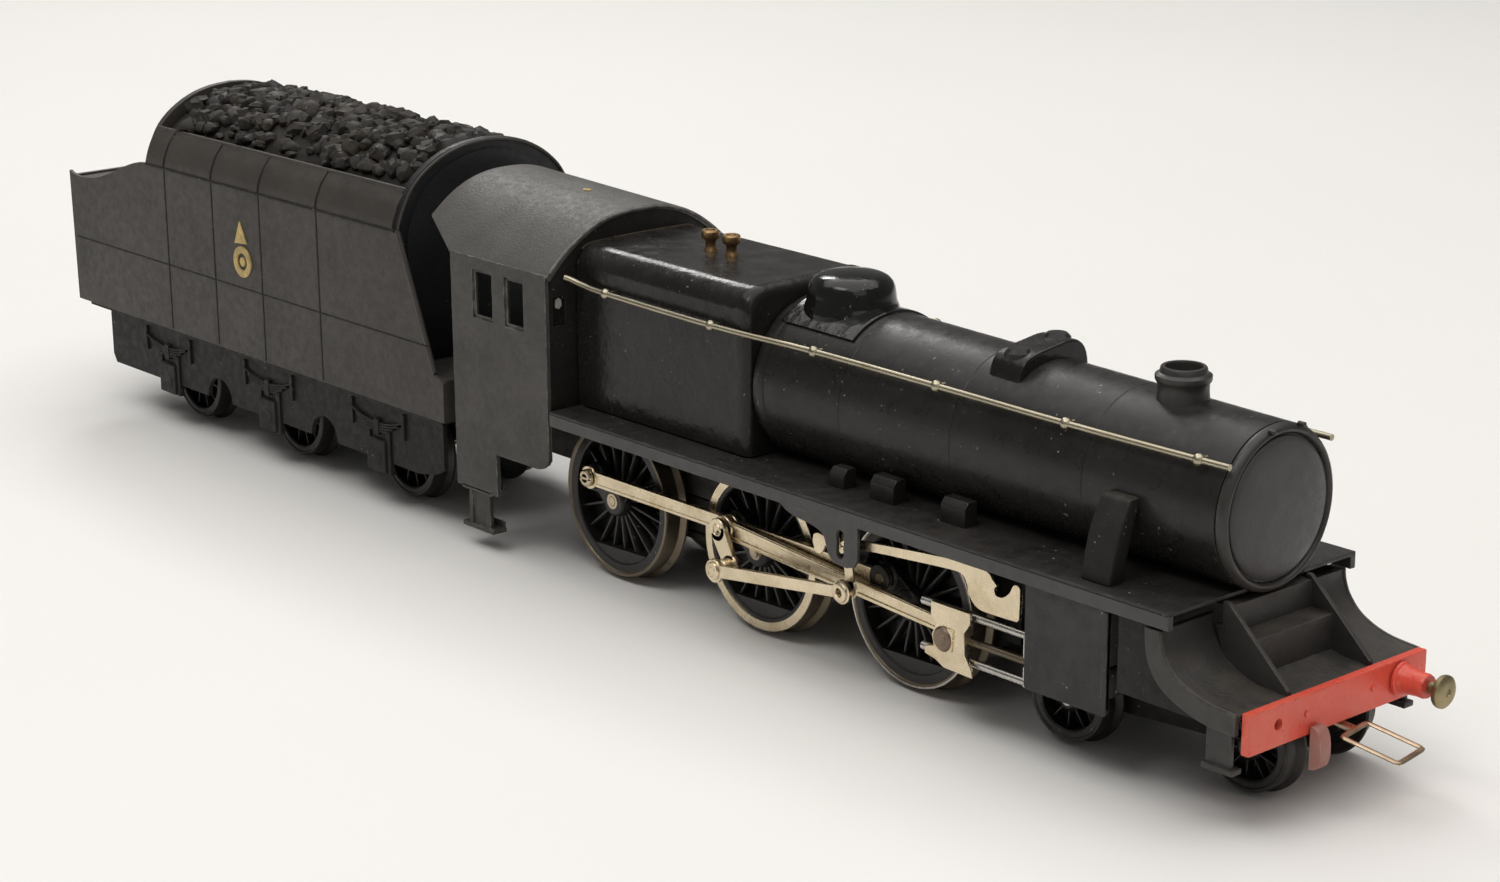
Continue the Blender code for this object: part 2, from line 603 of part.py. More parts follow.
for side in (-1, 1):
    tag = side_name(side)
    pins = [crank_spot(x, side) for x in DRIVER_X]
    crank = pins[1]

    low, high = span(side, 12.7, 13.6)
    rod = eyes(bar(pins[0], pins[2], 2.5, low, high), pins, (1.9, 1.9, 1.9), 1.15, low, high)
    place(rod, f"coupling_rod_{tag}", NICKEL, (crank[0], 0.0, crank[1]))

    low, high = span(side, 13.9, 14.9)
    reach = math.sqrt(CON_ROD_LEN ** 2 - (crank[1] - DRIVER_R) ** 2)
    gudgeon = (crank[0] + reach, DRIVER_R)
    rod = eyes(bar(crank, gudgeon, 2.5, low, high), [crank, gudgeon], (1.9, 1.4),
               1.0, low, high)
    place(rod, f"connecting_rod_{tag}", NICKEL, (crank[0], 0.0, crank[1]))

    lower = on_circle((0.0, DRIVER_R), RETURN_R, CRANK_DEG[side] + RETURN_LAG_DEG)
    low, high = span(side, 15.3, 16.1)
    arm = bar(crank, lower, 3.0, low, high)
    arm = join(arm, drum("Y", (crank[0], 0, crank[1]), 1.7, low, high, 14),
               drum("Y", (lower[0], 0, lower[1]), 1.7, low, high, 14))
    low, high = span(side, 15.9, 19.4)
    arm = join(arm, drum("Y", (lower[0], 0, lower[1]), 0.8, low, high, 8))
    low, high = span(side, 16.0, 18.2)
    arm = join(arm, drum("Y", (lower[0], 0, lower[1]), 1.3, low, high, 10))
    place(arm, f"return_crank_{tag}", NICKEL, (0.0, 0.0, DRIVER_R))

    foot = meet(lower, ECC_ROD_LEN, LINK_TOP, LINK_LEN)
    low, high = span(side, 18.5, 19.2)
    rod = eyes(bar(lower, foot, 1.9, low, high), [lower], (1.9,), 1.1, low, high)
    rod = join(rod, drum("Y", (foot[0], 0, foot[1]), 1.7, *span(side, 18.4, 19.5), 14))
    rod = cut(rod, drum("Y", (foot[0], 0, foot[1]), 0.8, *span(side, 17.0, 21.0), 8))
    place(rod, f"eccentric_rod_{tag}", NICKEL, (lower[0], 0.0, lower[1]))

    low, high = span(side, 16.95, 17.25)
    strap = bar(LINK_TOP, foot, 1.7, low, high)
    strap = join(strap, drum("Y", (LINK_TOP[0], 0, LINK_TOP[1]), 1.3, low, high, 12),
                 drum("Y", (foot[0], 0, foot[1]), 1.3, low, high, 12))
    cut(strap, drum("Y", (LINK_TOP[0], 0, LINK_TOP[1]), 0.65, *span(side, 16, 18), 8))
    place(strap, f"link_{tag}", NICKEL, (LINK_TOP[0], 0.0, LINK_TOP[1]))

    low, high = span(side, 16.1, 16.65)
    plate = slab([(16.7, 18.6), (17.4, 17.3), (18.8, 17.3), (19.6, 18.6), (27.6, 19.9),
                  (44.6, 21.4), (46.6, 21.0), (47.3, 18.7), (49.2, 17.2), (56.1, 17.2),
                  (56.5, 21.4), (56.2, 22.2), (55.0, 21.7), (53.4, 19.8), (52.1, 19.7),
                  (51.8, 21.4), (50.8, 22.5), (49.0, 23.0), (42.4, 22.7), (27.6, 21.2),
                  (18.6, 20.1), (17.2, 19.7)], "Y", low, high)
    post = drum("Y", (LINK_TOP[0], 0, LINK_TOP[1]), 0.4, *span(side, 16.4, 17.9), 8)
    place(join(plate, post), f"valve_rod_{tag}", NICKEL)

    low, high = span(side, 15.4, 16.6)
    bars = block(38.0, 57.9, low, high, 14.6, 15.8)
    bars = join(bars, block(38.0, 57.9, low, high, 8.2, 9.4),
                block(57.1, 57.9, *span(side, 14.5, 16.6), 8.5, 15.5))
    cut(bars, drum("X", (0, side * 15.9, 12.0), 0.9, 50, 60, 10))
    place(bars, f"slide_bars_{tag}", STEEL)

    gx = gudgeon[0]
    slipper = slab([(gx - 1.9, 16.4), (gx - 1.9, 14.6), (gx - 0.9, 13.6), (gx - 1.7, 11.9),
                    (gx - 1.3, 10.4), (gx - 2.9, 10.0), (gx - 3.0, 8.9), (gx - 1.0, 8.5),
                    (gx + 0.6, 7.7), (gx + 5.6, 7.7), (gx + 5.6, 8.7), (gx + 4.5, 10.5),
                    (gx + 4.3, 13.5), (gx + 5.3, 15.0), (gx + 5.3, 16.6)], "Y", *span(side, 16.9, 17.5))
    core = block(gx - 1.5, gx + 4.2, *span(side, 15.4, 17.2), 9.8, 14.2)
    piston = drum("X", (0, side * 15.9, 12.0), 0.55, gx + 3.0, gx + 17.0, 8)
    boss = drum("Y", (gx + 0.5, 0, 11.8), 1.8, *span(side, 17.2, 17.95), 14)
    place(join(slipper, core, piston, boss), f"crosshead_{tag}", NICKEL, (gx, side * 16.0, 12.0))


# ---------------------------------------------------------------------- bogie
def bogie_frame():
    """Frame with its arm, drawn straight ahead of the pivot."""
    deck = block(BOGIE_X - 2.6, BOGIE_X + 37.0, -6.2, 6.2, 7.9, 9.1)
    rails = block(BOGIE_X - 2.6, BOGIE_X + 37.0, -6.2, -5.2, 3.9, 8.9)
    for ahead in BOGIE_AXLES.values():
        cut(rails, drum("Y", (BOGIE_X + ahead, 0, BOGIE_R), 1.15, -10, 0, 12))
    cut(deck, block(BOGIE_X + 12.0, BOGIE_X + 28.0, -3.6, 3.6, 5, 12))
    tower = block(BOGIE_X - 2.5, BOGIE_X + 2.5, -2.5, 2.5, 8.8, 13.4)
    frame = join(deck, mirrored(rails), rails, tower)
    cut(frame, drum("Z", (BOGIE_X, 0, 0), 1.1, 5, 20, 10))
    return frame


BOGIE_PIVOT = (BOGIE_X, 0.0, 10.0)
place(rotated(bogie_frame(), BOGIE_PIVOT, "Z", BOGIE_YAW_DEG), "bogie_frame", FRAME_PAINT, BOGIE_PIVOT)
pivot = turned([(6.0, 0.0), (6.0, 2.2), (7.5, 2.2), (7.5, 0.8), (20.0, 0.8), (20.0, 0.0)],
               "Z", (BOGIE_X, 0, 0), 10)
place(pivot, "bogie_screw", STEEL, smooth=True)
for name, ahead in BOGIE_AXLES.items():
    wheels = wheelset(BOGIE_X + ahead, BOGIE_R, BOGIE_R, 0.85, 1.6, FACE_Y + 0.2, 14, 1.0)
    rotated(wheels, BOGIE_PIVOT, "Z", BOGIE_YAW_DEG)
    yaw = math.radians(BOGIE_YAW_DEG)
    centre = (BOGIE_X + ahead * math.cos(yaw), ahead * math.sin(yaw), BOGIE_R)
    place(wheels, f"bogie_wheels_{name}", WHEEL, centre, smooth=True)

# --------------------------------------------------------------------- tender
drawbar = block(DRAWBAR_REAR - 1.9, DRAWBAR_FRONT + 1.9, -1.8, 1.8, 14.1, 14.8)
cut(drawbar, drum("Z", (DRAWBAR_FRONT, 0, 0), 0.9, 10, 20, 10),
    drum("Z", (DRAWBAR_REAR, 0, 0), 0.9, 10, 20, 10))
place(drawbar, "drawbar", STEEL, (DRAWBAR_FRONT, 0.0, 14.4))
pin = turned([(12.6, 0.0), (12.6, 1.4), (13.3, 1.4), (13.3, 0.55), (20.0, 0.55), (20.0, 0.0)],
             "Z", (DRAWBAR_FRONT, 0, 0), 10)
place(pin, "drawbar_pin", STEEL, smooth=True)


def arch(low, inset=0.0):
    """Outline of the tender's curved top, from one side to the other."""
    half = [(18.2 - inset, low), (18.2 - inset, 47.3), (17.6 - inset, 49.4), (16.6 - inset, 51.6),
            (15.0 - inset, 54.2), (12.3 - inset, 56.6), (8.6, 58.6 - inset), (4.4, 59.8 - inset)]
    return half + [(0.0, 60.1 - inset)] + [(-y, z) for y, z in reversed(half)]


def tender_body():
    side = slab([(TENDER_FRONT, 18.0), (TENDER_FRONT, 24.8), (-70.0, 25.4), (-79.2, 47.3),
                 (-156.5, 47.3), (-162.0, 46.3), (-169.0, 43.6), (-176.0, 41.6), (-181.0, 41.2),
                 (-184.2, 42.0), (TENDER_REAR, 18.0)], "Y", -18.2, -17.4)
    curl = slab([(-18.2, 47.0), (-17.6, 49.4), (-16.6, 51.6), (-15.6, 53.1), (-15.0, 52.7),
                 (-15.9, 51.3), (-16.9, 49.1), (-17.4, 47.0)], "X", -156.0, -80.0)
    right = join(side, curl)
    left = mirrored(right)
    front = slab(arch(25.0, 0.2), "X", -80.9, -79.5)
    rear = slab([(y, z - 0.9 if abs(y) < 15 else z) for y, z in arch(40.5, 0.2)], "X", -157.0, -155.6)
    shelf = block(-80.2, TENDER_FRONT, -17.6, 17.6, 24.0, 24.9)
    lower_front = block(TENDER_FRONT - 0.9, TENDER_FRONT, -17.6, 17.6, 18.0, 24.2)
    deck = block(TENDER_REAR, -80.2, -17.6, 17.6, 40.0, 41.0)
    tail = block(TENDER_REAR, TENDER_REAR + 0.9, -17.6, 17.6, 18.0, 41.5)
    return join(deck, tail, rear, front, shelf, lower_front, right, left)


place(tender_body(), "tender_body", TENDER_PAINT)


def coal():
    """Heap of lumps: a coarse height field with a flat underside."""
    columns, rows = 14, 8
    x0, x1, y0, y1 = -155.0, -81.5, -14.3, 14.3
    bm = bmesh.new()
    grid = []
    for i in range(columns):
        line = []
        for j in range(rows):
            u, v = i / (columns - 1), j / (rows - 1)
            lump = math.sin(12.9 * i + 78.2 * j) * 43758.5453
            lump -= math.floor(lump)
            crown = 51.0 + 8.6 * math.sin(math.pi * v) ** 0.7
            inner = 0 < i < columns - 1 and 0 < j < rows - 1
            z = crown + (1.9 * lump if inner else -0.6)
            wobble = 1.1 * (lump - 0.5) if inner else 0.0
            line.append((x0 + (x1 - x0) * u + wobble, y0 + (y1 - y0) * v - wobble, z))
        grid.append(line)
    top = [[bm.verts.new(point) for point in line] for line in grid]
    base = [[bm.verts.new((x, y, 41.3)) for x, y, z in line] for line in grid]
    for i in range(columns - 1):
        for j in range(rows - 1):
            a, b, c, d = top[i][j], top[i + 1][j], top[i + 1][j + 1], top[i][j + 1]
            bm.faces.new((a, b, c))
            bm.faces.new((a, c, d))
    rim = ([(i, 0) for i in range(columns)] + [(columns - 1, j) for j in range(1, rows)]
           + [(i, rows - 1) for i in range(columns - 2, -1, -1)]
           + [(0, j) for j in range(rows - 2, 0, -1)])
    for (i, j), (k, m) in zip(rim, rim[1:] + rim[:1]):
        bm.faces.new((top[i][j], top[k][m], base[k][m], base[i][j]))
    bm.faces.new([base[i][j] for i, j in rim])
    loose = [v for v in bm.verts if not v.link_faces]
    bmesh.ops.delete(bm, geom=loose, context="VERTS")
    return from_bmesh(bm)


place(coal(), "coal_load", COAL)


REAR_HOOK = (-178.0, 0.0, 12.0)


def tender_chassis():
    deck = block(-181.5, -70.0, -17.0, 17.0, 17.0, 17.7)
    outside = slab([(-70.0, 17.2), (-70.0, 9.5), (-77.0, 7.4), (-101.0, 7.4), (-104.5, 11.0),
                    (-107.5, 7.4), (-134.0, 7.4), (-137.5, 11.0), (-141.0, 7.4), (-173.5, 7.4),
                    (-174.5, 9.0), (-174.5, 17.2)], "Y", -16.8, -16.0)
    right = outside
    for x in TENDER_AXLES:
        box = block(x - 2.6, x + 2.6, -17.7, -16.4, 5.4, 11.0)
        spring = slab([(x - 7.5, 14.2), (x - 4.0, 12.6), (x, 12.0), (x + 4.0, 12.6), (x + 7.5, 14.2),
                       (x + 4.0, 13.9), (x, 13.5), (x - 4.0, 13.9)], "Y", -17.3, -16.4)
        right = join(right, box, spring)
    inner = block(-172.0, -74.0, -6.4, -5.4, 5.0, 17.2)
    for x in TENDER_AXLES:
        cut(inner, drum("Y", (x, 0, TENDER_R), 1.2, -10, 0, 12))
    inner_left = mirrored(inner)
    left = mirrored(right)
    cross = block(-80.5, -70.0, -6.0, 6.0, 15.2, 17.4)
    cut(cross, drum("Z", (DRAWBAR_REAR, 0, 0), 0.9, 10, 16.6, 10))
    tail = block(-175.0, -171.0, -6.0, 6.0, 9.0, 17.4)
    pad = block(-181.0, -174.0, -4.0, 4.0, 12.7, 17.4)
    cut(pad, drum("Z", (REAR_HOOK[0], 0, 0), 0.75, 10, 16.6, 10))
    return join(deck, right, left, inner, inner_left, cross, tail, pad)


place(tender_chassis(), "tender_chassis", FRAME_PAINT, (DRAWBAR_REAR, 0.0, 14.4))
pin = turned([(12.6, 0.0), (12.6, 1.4), (13.8, 1.4), (13.8, 0.55), (16.2, 0.55), (16.2, 0.0)],
             "Z", (DRAWBAR_REAR, 0, 0), 10)
place(pin, "tender_pin", STEEL, smooth=True)
for number, x in enumerate(TENDER_AXLES, 1):
    wheels = wheelset(x, TENDER_R, TENDER_R, 0.85, 1.8, FACE_Y + 0.3, 14, 1.1)
    place(wheels, f"tender_wheels_{number}", WHEEL, (x, 0.0, TENDER_R), smooth=True)

hook = block(-184.0, -176.6, -1.2, 1.2, 11.7, 12.3)
hook = join(hook, block(-184.0, -183.2, -1.2, 1.2, 8.6, 12.2))
cut(hook, drum("Z", (REAR_HOOK[0], 0, 0), 0.75, 10, 14, 10))
place(hook, "tender_hook", STEEL, REAR_HOOK)
pin = turned([(10.6, 0.0), (10.6, 1.3), (11.3, 1.3), (11.3, 0.45), (16.2, 0.45), (16.2, 0.0)],
             "Z", (REAR_HOOK[0], 0, 0), 10)
place(pin, "tender_hook_pin", STEEL, smooth=True)
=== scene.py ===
"""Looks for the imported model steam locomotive: pieces, materials, light and camera.

Shapes are drawn in the same drawing millimetres as the CAD part: the middle driving
axle is over X = 0 and the rail is at Z = 0.  piece() turns them into metres.
"""

import math
import random

import bmesh
import bpy
from mathutils import Matrix, Vector, noise


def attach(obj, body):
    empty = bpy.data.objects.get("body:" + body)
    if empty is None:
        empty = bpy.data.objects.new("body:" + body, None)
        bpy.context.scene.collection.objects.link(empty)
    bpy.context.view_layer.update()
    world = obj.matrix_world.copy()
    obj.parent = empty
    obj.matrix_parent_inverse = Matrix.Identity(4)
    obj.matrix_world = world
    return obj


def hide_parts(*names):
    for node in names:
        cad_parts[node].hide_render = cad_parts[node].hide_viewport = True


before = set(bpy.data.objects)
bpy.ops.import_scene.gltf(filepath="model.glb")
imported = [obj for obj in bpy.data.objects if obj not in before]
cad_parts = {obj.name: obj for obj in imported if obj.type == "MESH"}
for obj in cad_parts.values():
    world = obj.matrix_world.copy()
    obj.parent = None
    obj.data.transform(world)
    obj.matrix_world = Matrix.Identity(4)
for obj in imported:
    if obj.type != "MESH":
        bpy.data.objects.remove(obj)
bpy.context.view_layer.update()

# ---------------------------------------------------------------- dimensions
SCALE = 0.955 * 0.001
SHIFT_X = 39.3
SHIFT_Z = 0.8

DRIVER_X = {"rear": -32.8, "middle": 0.0, "front": 31.1}
DRIVER_R = 12.0
CRANK_R = 5.1
CRANK_DEG = {-1: 141.5, 1: 51.5}
RETURN_R = 2.0
RETURN_LAG_DEG = 91.6
CON_ROD_LEN = 47.1
ECC_ROD_LEN = 26.75
LINK_TOP = (24.4, 20.4)
LINK_LEN = 6.5
BACK_Y = 7.6
FACE_Y = 11.4
BOGIE_X = 51.0
BOGIE_AXLES = {"rear": 6.6, "front": 33.4}
BOGIE_YAW_DEG = 9.0
BOGIE_R = 5.8
BODY_SCREW_X = 69.5
HALF_WIDTH = 18.2
PLATE_Z = 25.7
TENDER_AXLES = (-88.0, -121.0, -154.0)
TENDER_R = 7.9
PANEL_X = (-150.0, -134.5, -119.5, -102.0)
SIDES = {-1: "right", 1: "left"}


# ------------------------------------------------------------- shape helpers
def loft(rings, closed=False, capped=True):
    """Skin equal rings of points; closed joins the last ring to the first."""
    bm = bmesh.new()
    rows = [[bm.verts.new(point) for point in ring] for ring in rings]
    count = len(rows[0])
    pairs = list(zip(rows, rows[1:]))
    if closed:
        pairs.append((rows[-1], rows[0]))
    for near, far in pairs:
        for i in range(count):
            j = (i + 1) % count
            bm.faces.new((near[i], near[j], far[j], far[i]))
    if capped and not closed:
        bm.faces.new(rows[0])
        bm.faces.new(rows[-1])
    bmesh.ops.recalc_face_normals(bm, faces=bm.faces)
    return bm


def soften(bm, width=0.12, segments=2, limit=30.0):
    """Round every edge sharper than a limit."""
    bmesh.ops.recalc_face_normals(bm, faces=bm.faces)
    edges = [e for e in bm.edges
             if len(e.link_faces) == 2 and e.calc_face_angle() > math.radians(limit)]
    bmesh.ops.bevel(bm, geom=edges, offset=width, offset_type="OFFSET", segments=segments,
                    profile=0.5, affect="EDGES", clamp_overlap=True)
    return bm


def slab(points, axis, low, high, bevel=0.12):
    """Extrude a flat outline along one axis and round its edges."""
    low, high = min(low, high), max(low, high)

    def spot(a, b, along):
        if axis == "Y":
            return (a, along, b)
        if axis == "X":
            return (along, a, b)
        return (a, b, along)
    bm = loft([[spot(a, b, low) for a, b in points], [spot(a, b, high) for a, b in points]])
    return soften(bm, bevel) if bevel else bm


def block(x0, x1, y0, y1, z0, z1, bevel=0.12):
    """Box between pairs of X, Y and Z, with softened edges."""
    outline = [(x0, z0), (x1, z0), (x1, z1), (x0, z1)]
    return slab(outline, "Y", y0, y1, bevel)


def turned(profile, axis, centre, segments=32, closed=False):
    """Revolve (along, radius) points; closed makes a ring from a closed profile."""
    bm = bmesh.new()
    turns = [math.tau * (k + 0.5) / segments for k in range(segments)]

    def spot(along, a, b):
        if axis == "X":
            return (centre[0] + along, centre[1] + a, centre[2] + b)
        if axis == "Y":
            return (centre[0] + a, centre[1] + along, centre[2] + b)
        return (centre[0] + a, centre[1] + b, centre[2] + along)

    rows = []
    for along, radius in profile:
        if radius < 1e-6:
            rows.append([bm.verts.new(spot(along, 0.0, 0.0))])
        else:
            rows.append([bm.verts.new(spot(along, radius * math.cos(t), radius * math.sin(t)))
                         for t in turns])
    pairs = list(zip(rows, rows[1:]))
    if closed:
        pairs.append((rows[-1], rows[0]))
    for near, far in pairs:
        for i in range(segments):
            j = (i + 1) % segments
            if len(near) == 1 and len(far) == 1:
                continue
            if len(near) == 1:
                bm.faces.new((near[0], far[j], far[i]))
            elif len(far) == 1:
                bm.faces.new((near[i], near[j], far[0]))
            else:
                bm.faces.new((near[i], near[j], far[j], far[i]))
    if not closed:
        for row in (rows[0], rows[-1]):
            if len(row) > 1:
                bm.faces.new(row)
    bmesh.ops.recalc_face_normals(bm, faces=bm.faces)
    return bm


def drum(axis, centre, radius, low, high, segments=24, chamfer=0.12):
    """Cylinder with chamfered ends between two stations along an axis."""
    low, high = min(low, high), max(low, high)
    c = min(chamfer, radius * 0.4, (high - low) * 0.4)
    return turned([(low, 0.0), (low, radius - c), (low + c, radius), (high - c, radius),
                   (high, radius - c), (high, 0.0)], axis, centre, segments)


def sheet(across, up, missing, axis, low, high, bevel=0.1, warp=None):
    """Flat plate on a grid of stations, with some cells left open as windows."""
    bm = bmesh.new()
    grid = {}
    for i, a in enumerate(across):
        for j, b in enumerate(up):
            a2, b2 = warp(a, b) if warp else (a, b)
            for k, along in enumerate((low, high)):
                point = (a2, along, b2) if axis == "Y" else (along, a2, b2)
                grid[i, j, k] = bm.verts.new(point)
    cells = {(i, j) for i in range(len(across) - 1) for j in range(len(up) - 1)} - set(missing)
    for i, j in sorted(cells):
        corners = ((i, j), (i + 1, j), (i + 1, j + 1), (i, j + 1))
        for k in (0, 1):
            bm.faces.new([grid[a, b, k] for a, b in corners])
        beyond = ((i, j - 1), (i + 1, j), (i, j + 1), (i - 1, j))
        for n, cell in enumerate(beyond):
            if cell not in cells:
                (a, b), (c, d) = corners[n], corners[(n + 1) % 4]
                bm.faces.new((grid[a, b, 0], grid[c, d, 0], grid[c, d, 1], grid[a, b, 1]))
    loose = [v for v in bm.verts if not v.link_faces]
    bmesh.ops.delete(bm, geom=loose, context="VERTS")
    return soften(bm, bevel)


def tube(path, radius, sides=14, closed=False, flat=1.0):
    """Bar through a list of points; flat squashes its section's height."""
    rings = []
    count = len(path)
    for i, point in enumerate(path):
        here = Vector(point)
        before = Vector(path[(i - 1) % count if closed else max(i - 1, 0)])
        after = Vector(path[(i + 1) % count if closed else min(i + 1, count - 1)])
        along = (after - before).normalized()
        level = Vector((0, 0, 1)).cross(along).normalized()
        rise = along.cross(level)
        rings.append([here + radius * (math.cos(a) * level + flat * math.sin(a) * rise)
                      for a in (math.tau * k / sides for k in range(sides))])
    return loft(rings, closed=closed)


def gather(*parts):
    """Put several shapes into one."""
    whole = bmesh.new()
    for part in parts:
        mesh = bpy.data.meshes.new("part")
        part.to_mesh(mesh)
        part.free()
        whole.from_mesh(mesh)
        bpy.data.meshes.remove(mesh)
    return whole


def mirror(bm):
    """Copy of a shape on the other side of the centre line."""
    other = bm.copy()
    other.transform(Matrix.Diagonal((1.0, -1.0, 1.0, 1.0)))
    bmesh.ops.reverse_faces(other, faces=other.faces)
    return other


def both(bm):
    """A shape and its mirror image."""
    return gather(mirror(bm), bm)


def turn(bm, pivot, axis, degrees):
    """Turn a shape about an axis through a pivot."""
    there = Matrix.Translation(pivot)
    bm.transform(there @ Matrix.Rotation(math.radians(degrees), 4, axis) @ there.inverted())
    return bm


def smooth_line(points, steps=6):
    """Catmull-Rom line through points in a plane."""
    pts = [points[0]] + list(points) + [points[-1]]
    line = []
    for a, b, c, d in zip(pts, pts[1:], pts[2:], pts[3:]):
        for k in range(steps):
            t = k / steps
            line.append(tuple(0.5 * (2 * q + (r - p) * t + (2 * p - 5 * q + 4 * r - s) * t * t
                                     + (3 * q - p - 3 * r + s) * t ** 3)
                              for p, q, r, s in zip(a, b, c, d)))
    return line + [points[-1]]


def round_corner(centre, radius, start, end, steps=6):
    """Points along an arc between two angles in degrees."""
    return [(centre[0] + radius * math.cos(a), centre[1] + radius * math.sin(a))
            for a in (math.radians(start + (end - start) * k / steps) for k in range(steps + 1))]


def on_circle(centre, radius, degrees):
    """The point of a circle at an angle."""
    angle = math.radians(degrees)
    return (centre[0] + radius * math.cos(angle), centre[1] + radius * math.sin(angle))


def at(spot):
    """A point of the X Z plane as a centre for turned shapes along Y."""
    return (spot[0], 0.0, spot[1])


def meet(a, ra, b, rb):
    """Lower crossing point of two circles in the X Z plane."""
    dx, dz = b[0] - a[0], b[1] - a[1]
    d = math.hypot(dx, dz)
    along = (ra * ra - rb * rb + d * d) / (2 * d)
    rise = math.sqrt(ra * ra - along * along)
    mx, mz = a[0] + along * dx / d, a[1] + along * dz / d
    spots = ((mx + rise * dz / d, mz - rise * dx / d), (mx - rise * dz / d, mz + rise * dx / d))
    return min(spots, key=lambda spot: spot[1])


def add_object(name, data):
    """Make an object and put it in the scene."""
    obj = bpy.data.objects.new(name, data)
    bpy.context.scene.collection.objects.link(obj)
    return obj


def cut(bm, tool):
    """Take one closed shape away from another."""
    pair = []
    for shape in (bm, tool):
        mesh = bpy.data.meshes.new("part")
        shape.to_mesh(mesh)
        shape.free()
        pair.append(add_object("part", mesh))
    step = pair[0].modifiers.new("step", "BOOLEAN")
    step.operation = "DIFFERENCE"
    step.solver = "EXACT"
    step.object = pair[1]
    bpy.context.view_layer.update()
    result = bmesh.new()
    result.from_object(pair[0], bpy.context.evaluated_depsgraph_get())
    for obj in pair:
        mesh = obj.data
        bpy.data.objects.remove(obj)
        bpy.data.meshes.remove(mesh)
    return result


def piece(name, bm, finish, body, nodes=(), crease=38.0):
    """Scale a drawn shape to metres and make it a piece that rides on a body.
    """
    for v in bm.verts:
        v.co = ((v.co.x + SHIFT_X) * SCALE, v.co.y * SCALE, (v.co.z + SHIFT_Z) * SCALE)
    for face in bm.faces:
        face.smooth = True
    for edge in bm.edges:
        if len(edge.link_faces) == 2 and edge.calc_face_angle() > math.radians(crease):
            edge.smooth = False
    mesh = bpy.data.meshes.new(name)
    bm.to_mesh(mesh)
    bm.free()
    mesh.materials.append(finish)
    obj = add_object(name, mesh)
    even = obj.modifiers.new("even_normals", "WEIGHTED_NORMAL")
    even.keep_sharp = True
    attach(obj, body)
    if nodes:
        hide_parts(*nodes)
    return obj


# ----------------------------------------------------------------- materials
class Graph:
    """Short way to add and link shader nodes."""

    def __init__(self, name):
        self.material = bpy.data.materials.new(name)
        self.material.use_nodes = True
        self.tree = self.material.node_tree
        self.shader = self.tree.nodes["Principled BSDF"]
        self.coords = self.add("ShaderNodeTexCoord")

    def add(self, kind, settings=None, **inputs):
        node = self.tree.nodes.new(kind)
        for key, value in (settings or {}).items():
            setattr(node, key, value)
        for key, value in inputs.items():
            socket = node.inputs[int(key[1:])] if key[1:].isdigit() else node.inputs[key]
            self.feed(socket, value)
        return node

    def feed(self, socket, value):
        if isinstance(value, bpy.types.NodeSocket):
            self.tree.links.new(value, socket)
        else:
            socket.default_value = value

    def stretched(self, scale):
        """Object coordinates, stretched."""
        node = self.add("ShaderNodeMapping", Vector=self.coords.outputs["Object"])
        node.inputs["Scale"].default_value = scale
        return node.outputs["Vector"]

    def noise(self, scale, detail=4.0, rough=0.55, vector=None):
        node = self.add("ShaderNodeTexNoise", Scale=scale, Detail=detail, Roughness=rough)
        self.feed(node.inputs["Vector"], vector or self.coords.outputs["Object"])
        return node.outputs["Fac"]

    def between(self, value, low, high, to_low=0.0, to_high=1.0):
        node = self.add("ShaderNodeMapRange", {"clamp": True}, Value=value)
        for key, number in zip(("From Min", "From Max", "To Min", "To Max"),
                               (low, high, to_low, to_high)):
            node.inputs[key].default_value = number
        return node.outputs["Result"]

    def math(self, operation, a, b=0.5):
        node = self.add("ShaderNodeMath", {"operation": operation}, _0=a, _1=b)
        return node.outputs["Value"]

    def mix(self, factor, a, b):
        node = self.add("ShaderNodeMix", {"data_type": "RGBA"}, _0=factor, _6=a, _7=b)
        return node.outputs[2]


def rgba(colour, gain=1.0):
    """Colour with alpha, made lighter or darker by a gain."""
    return tuple(min(c * gain, 1.0) for c in colour) + (1.0,)


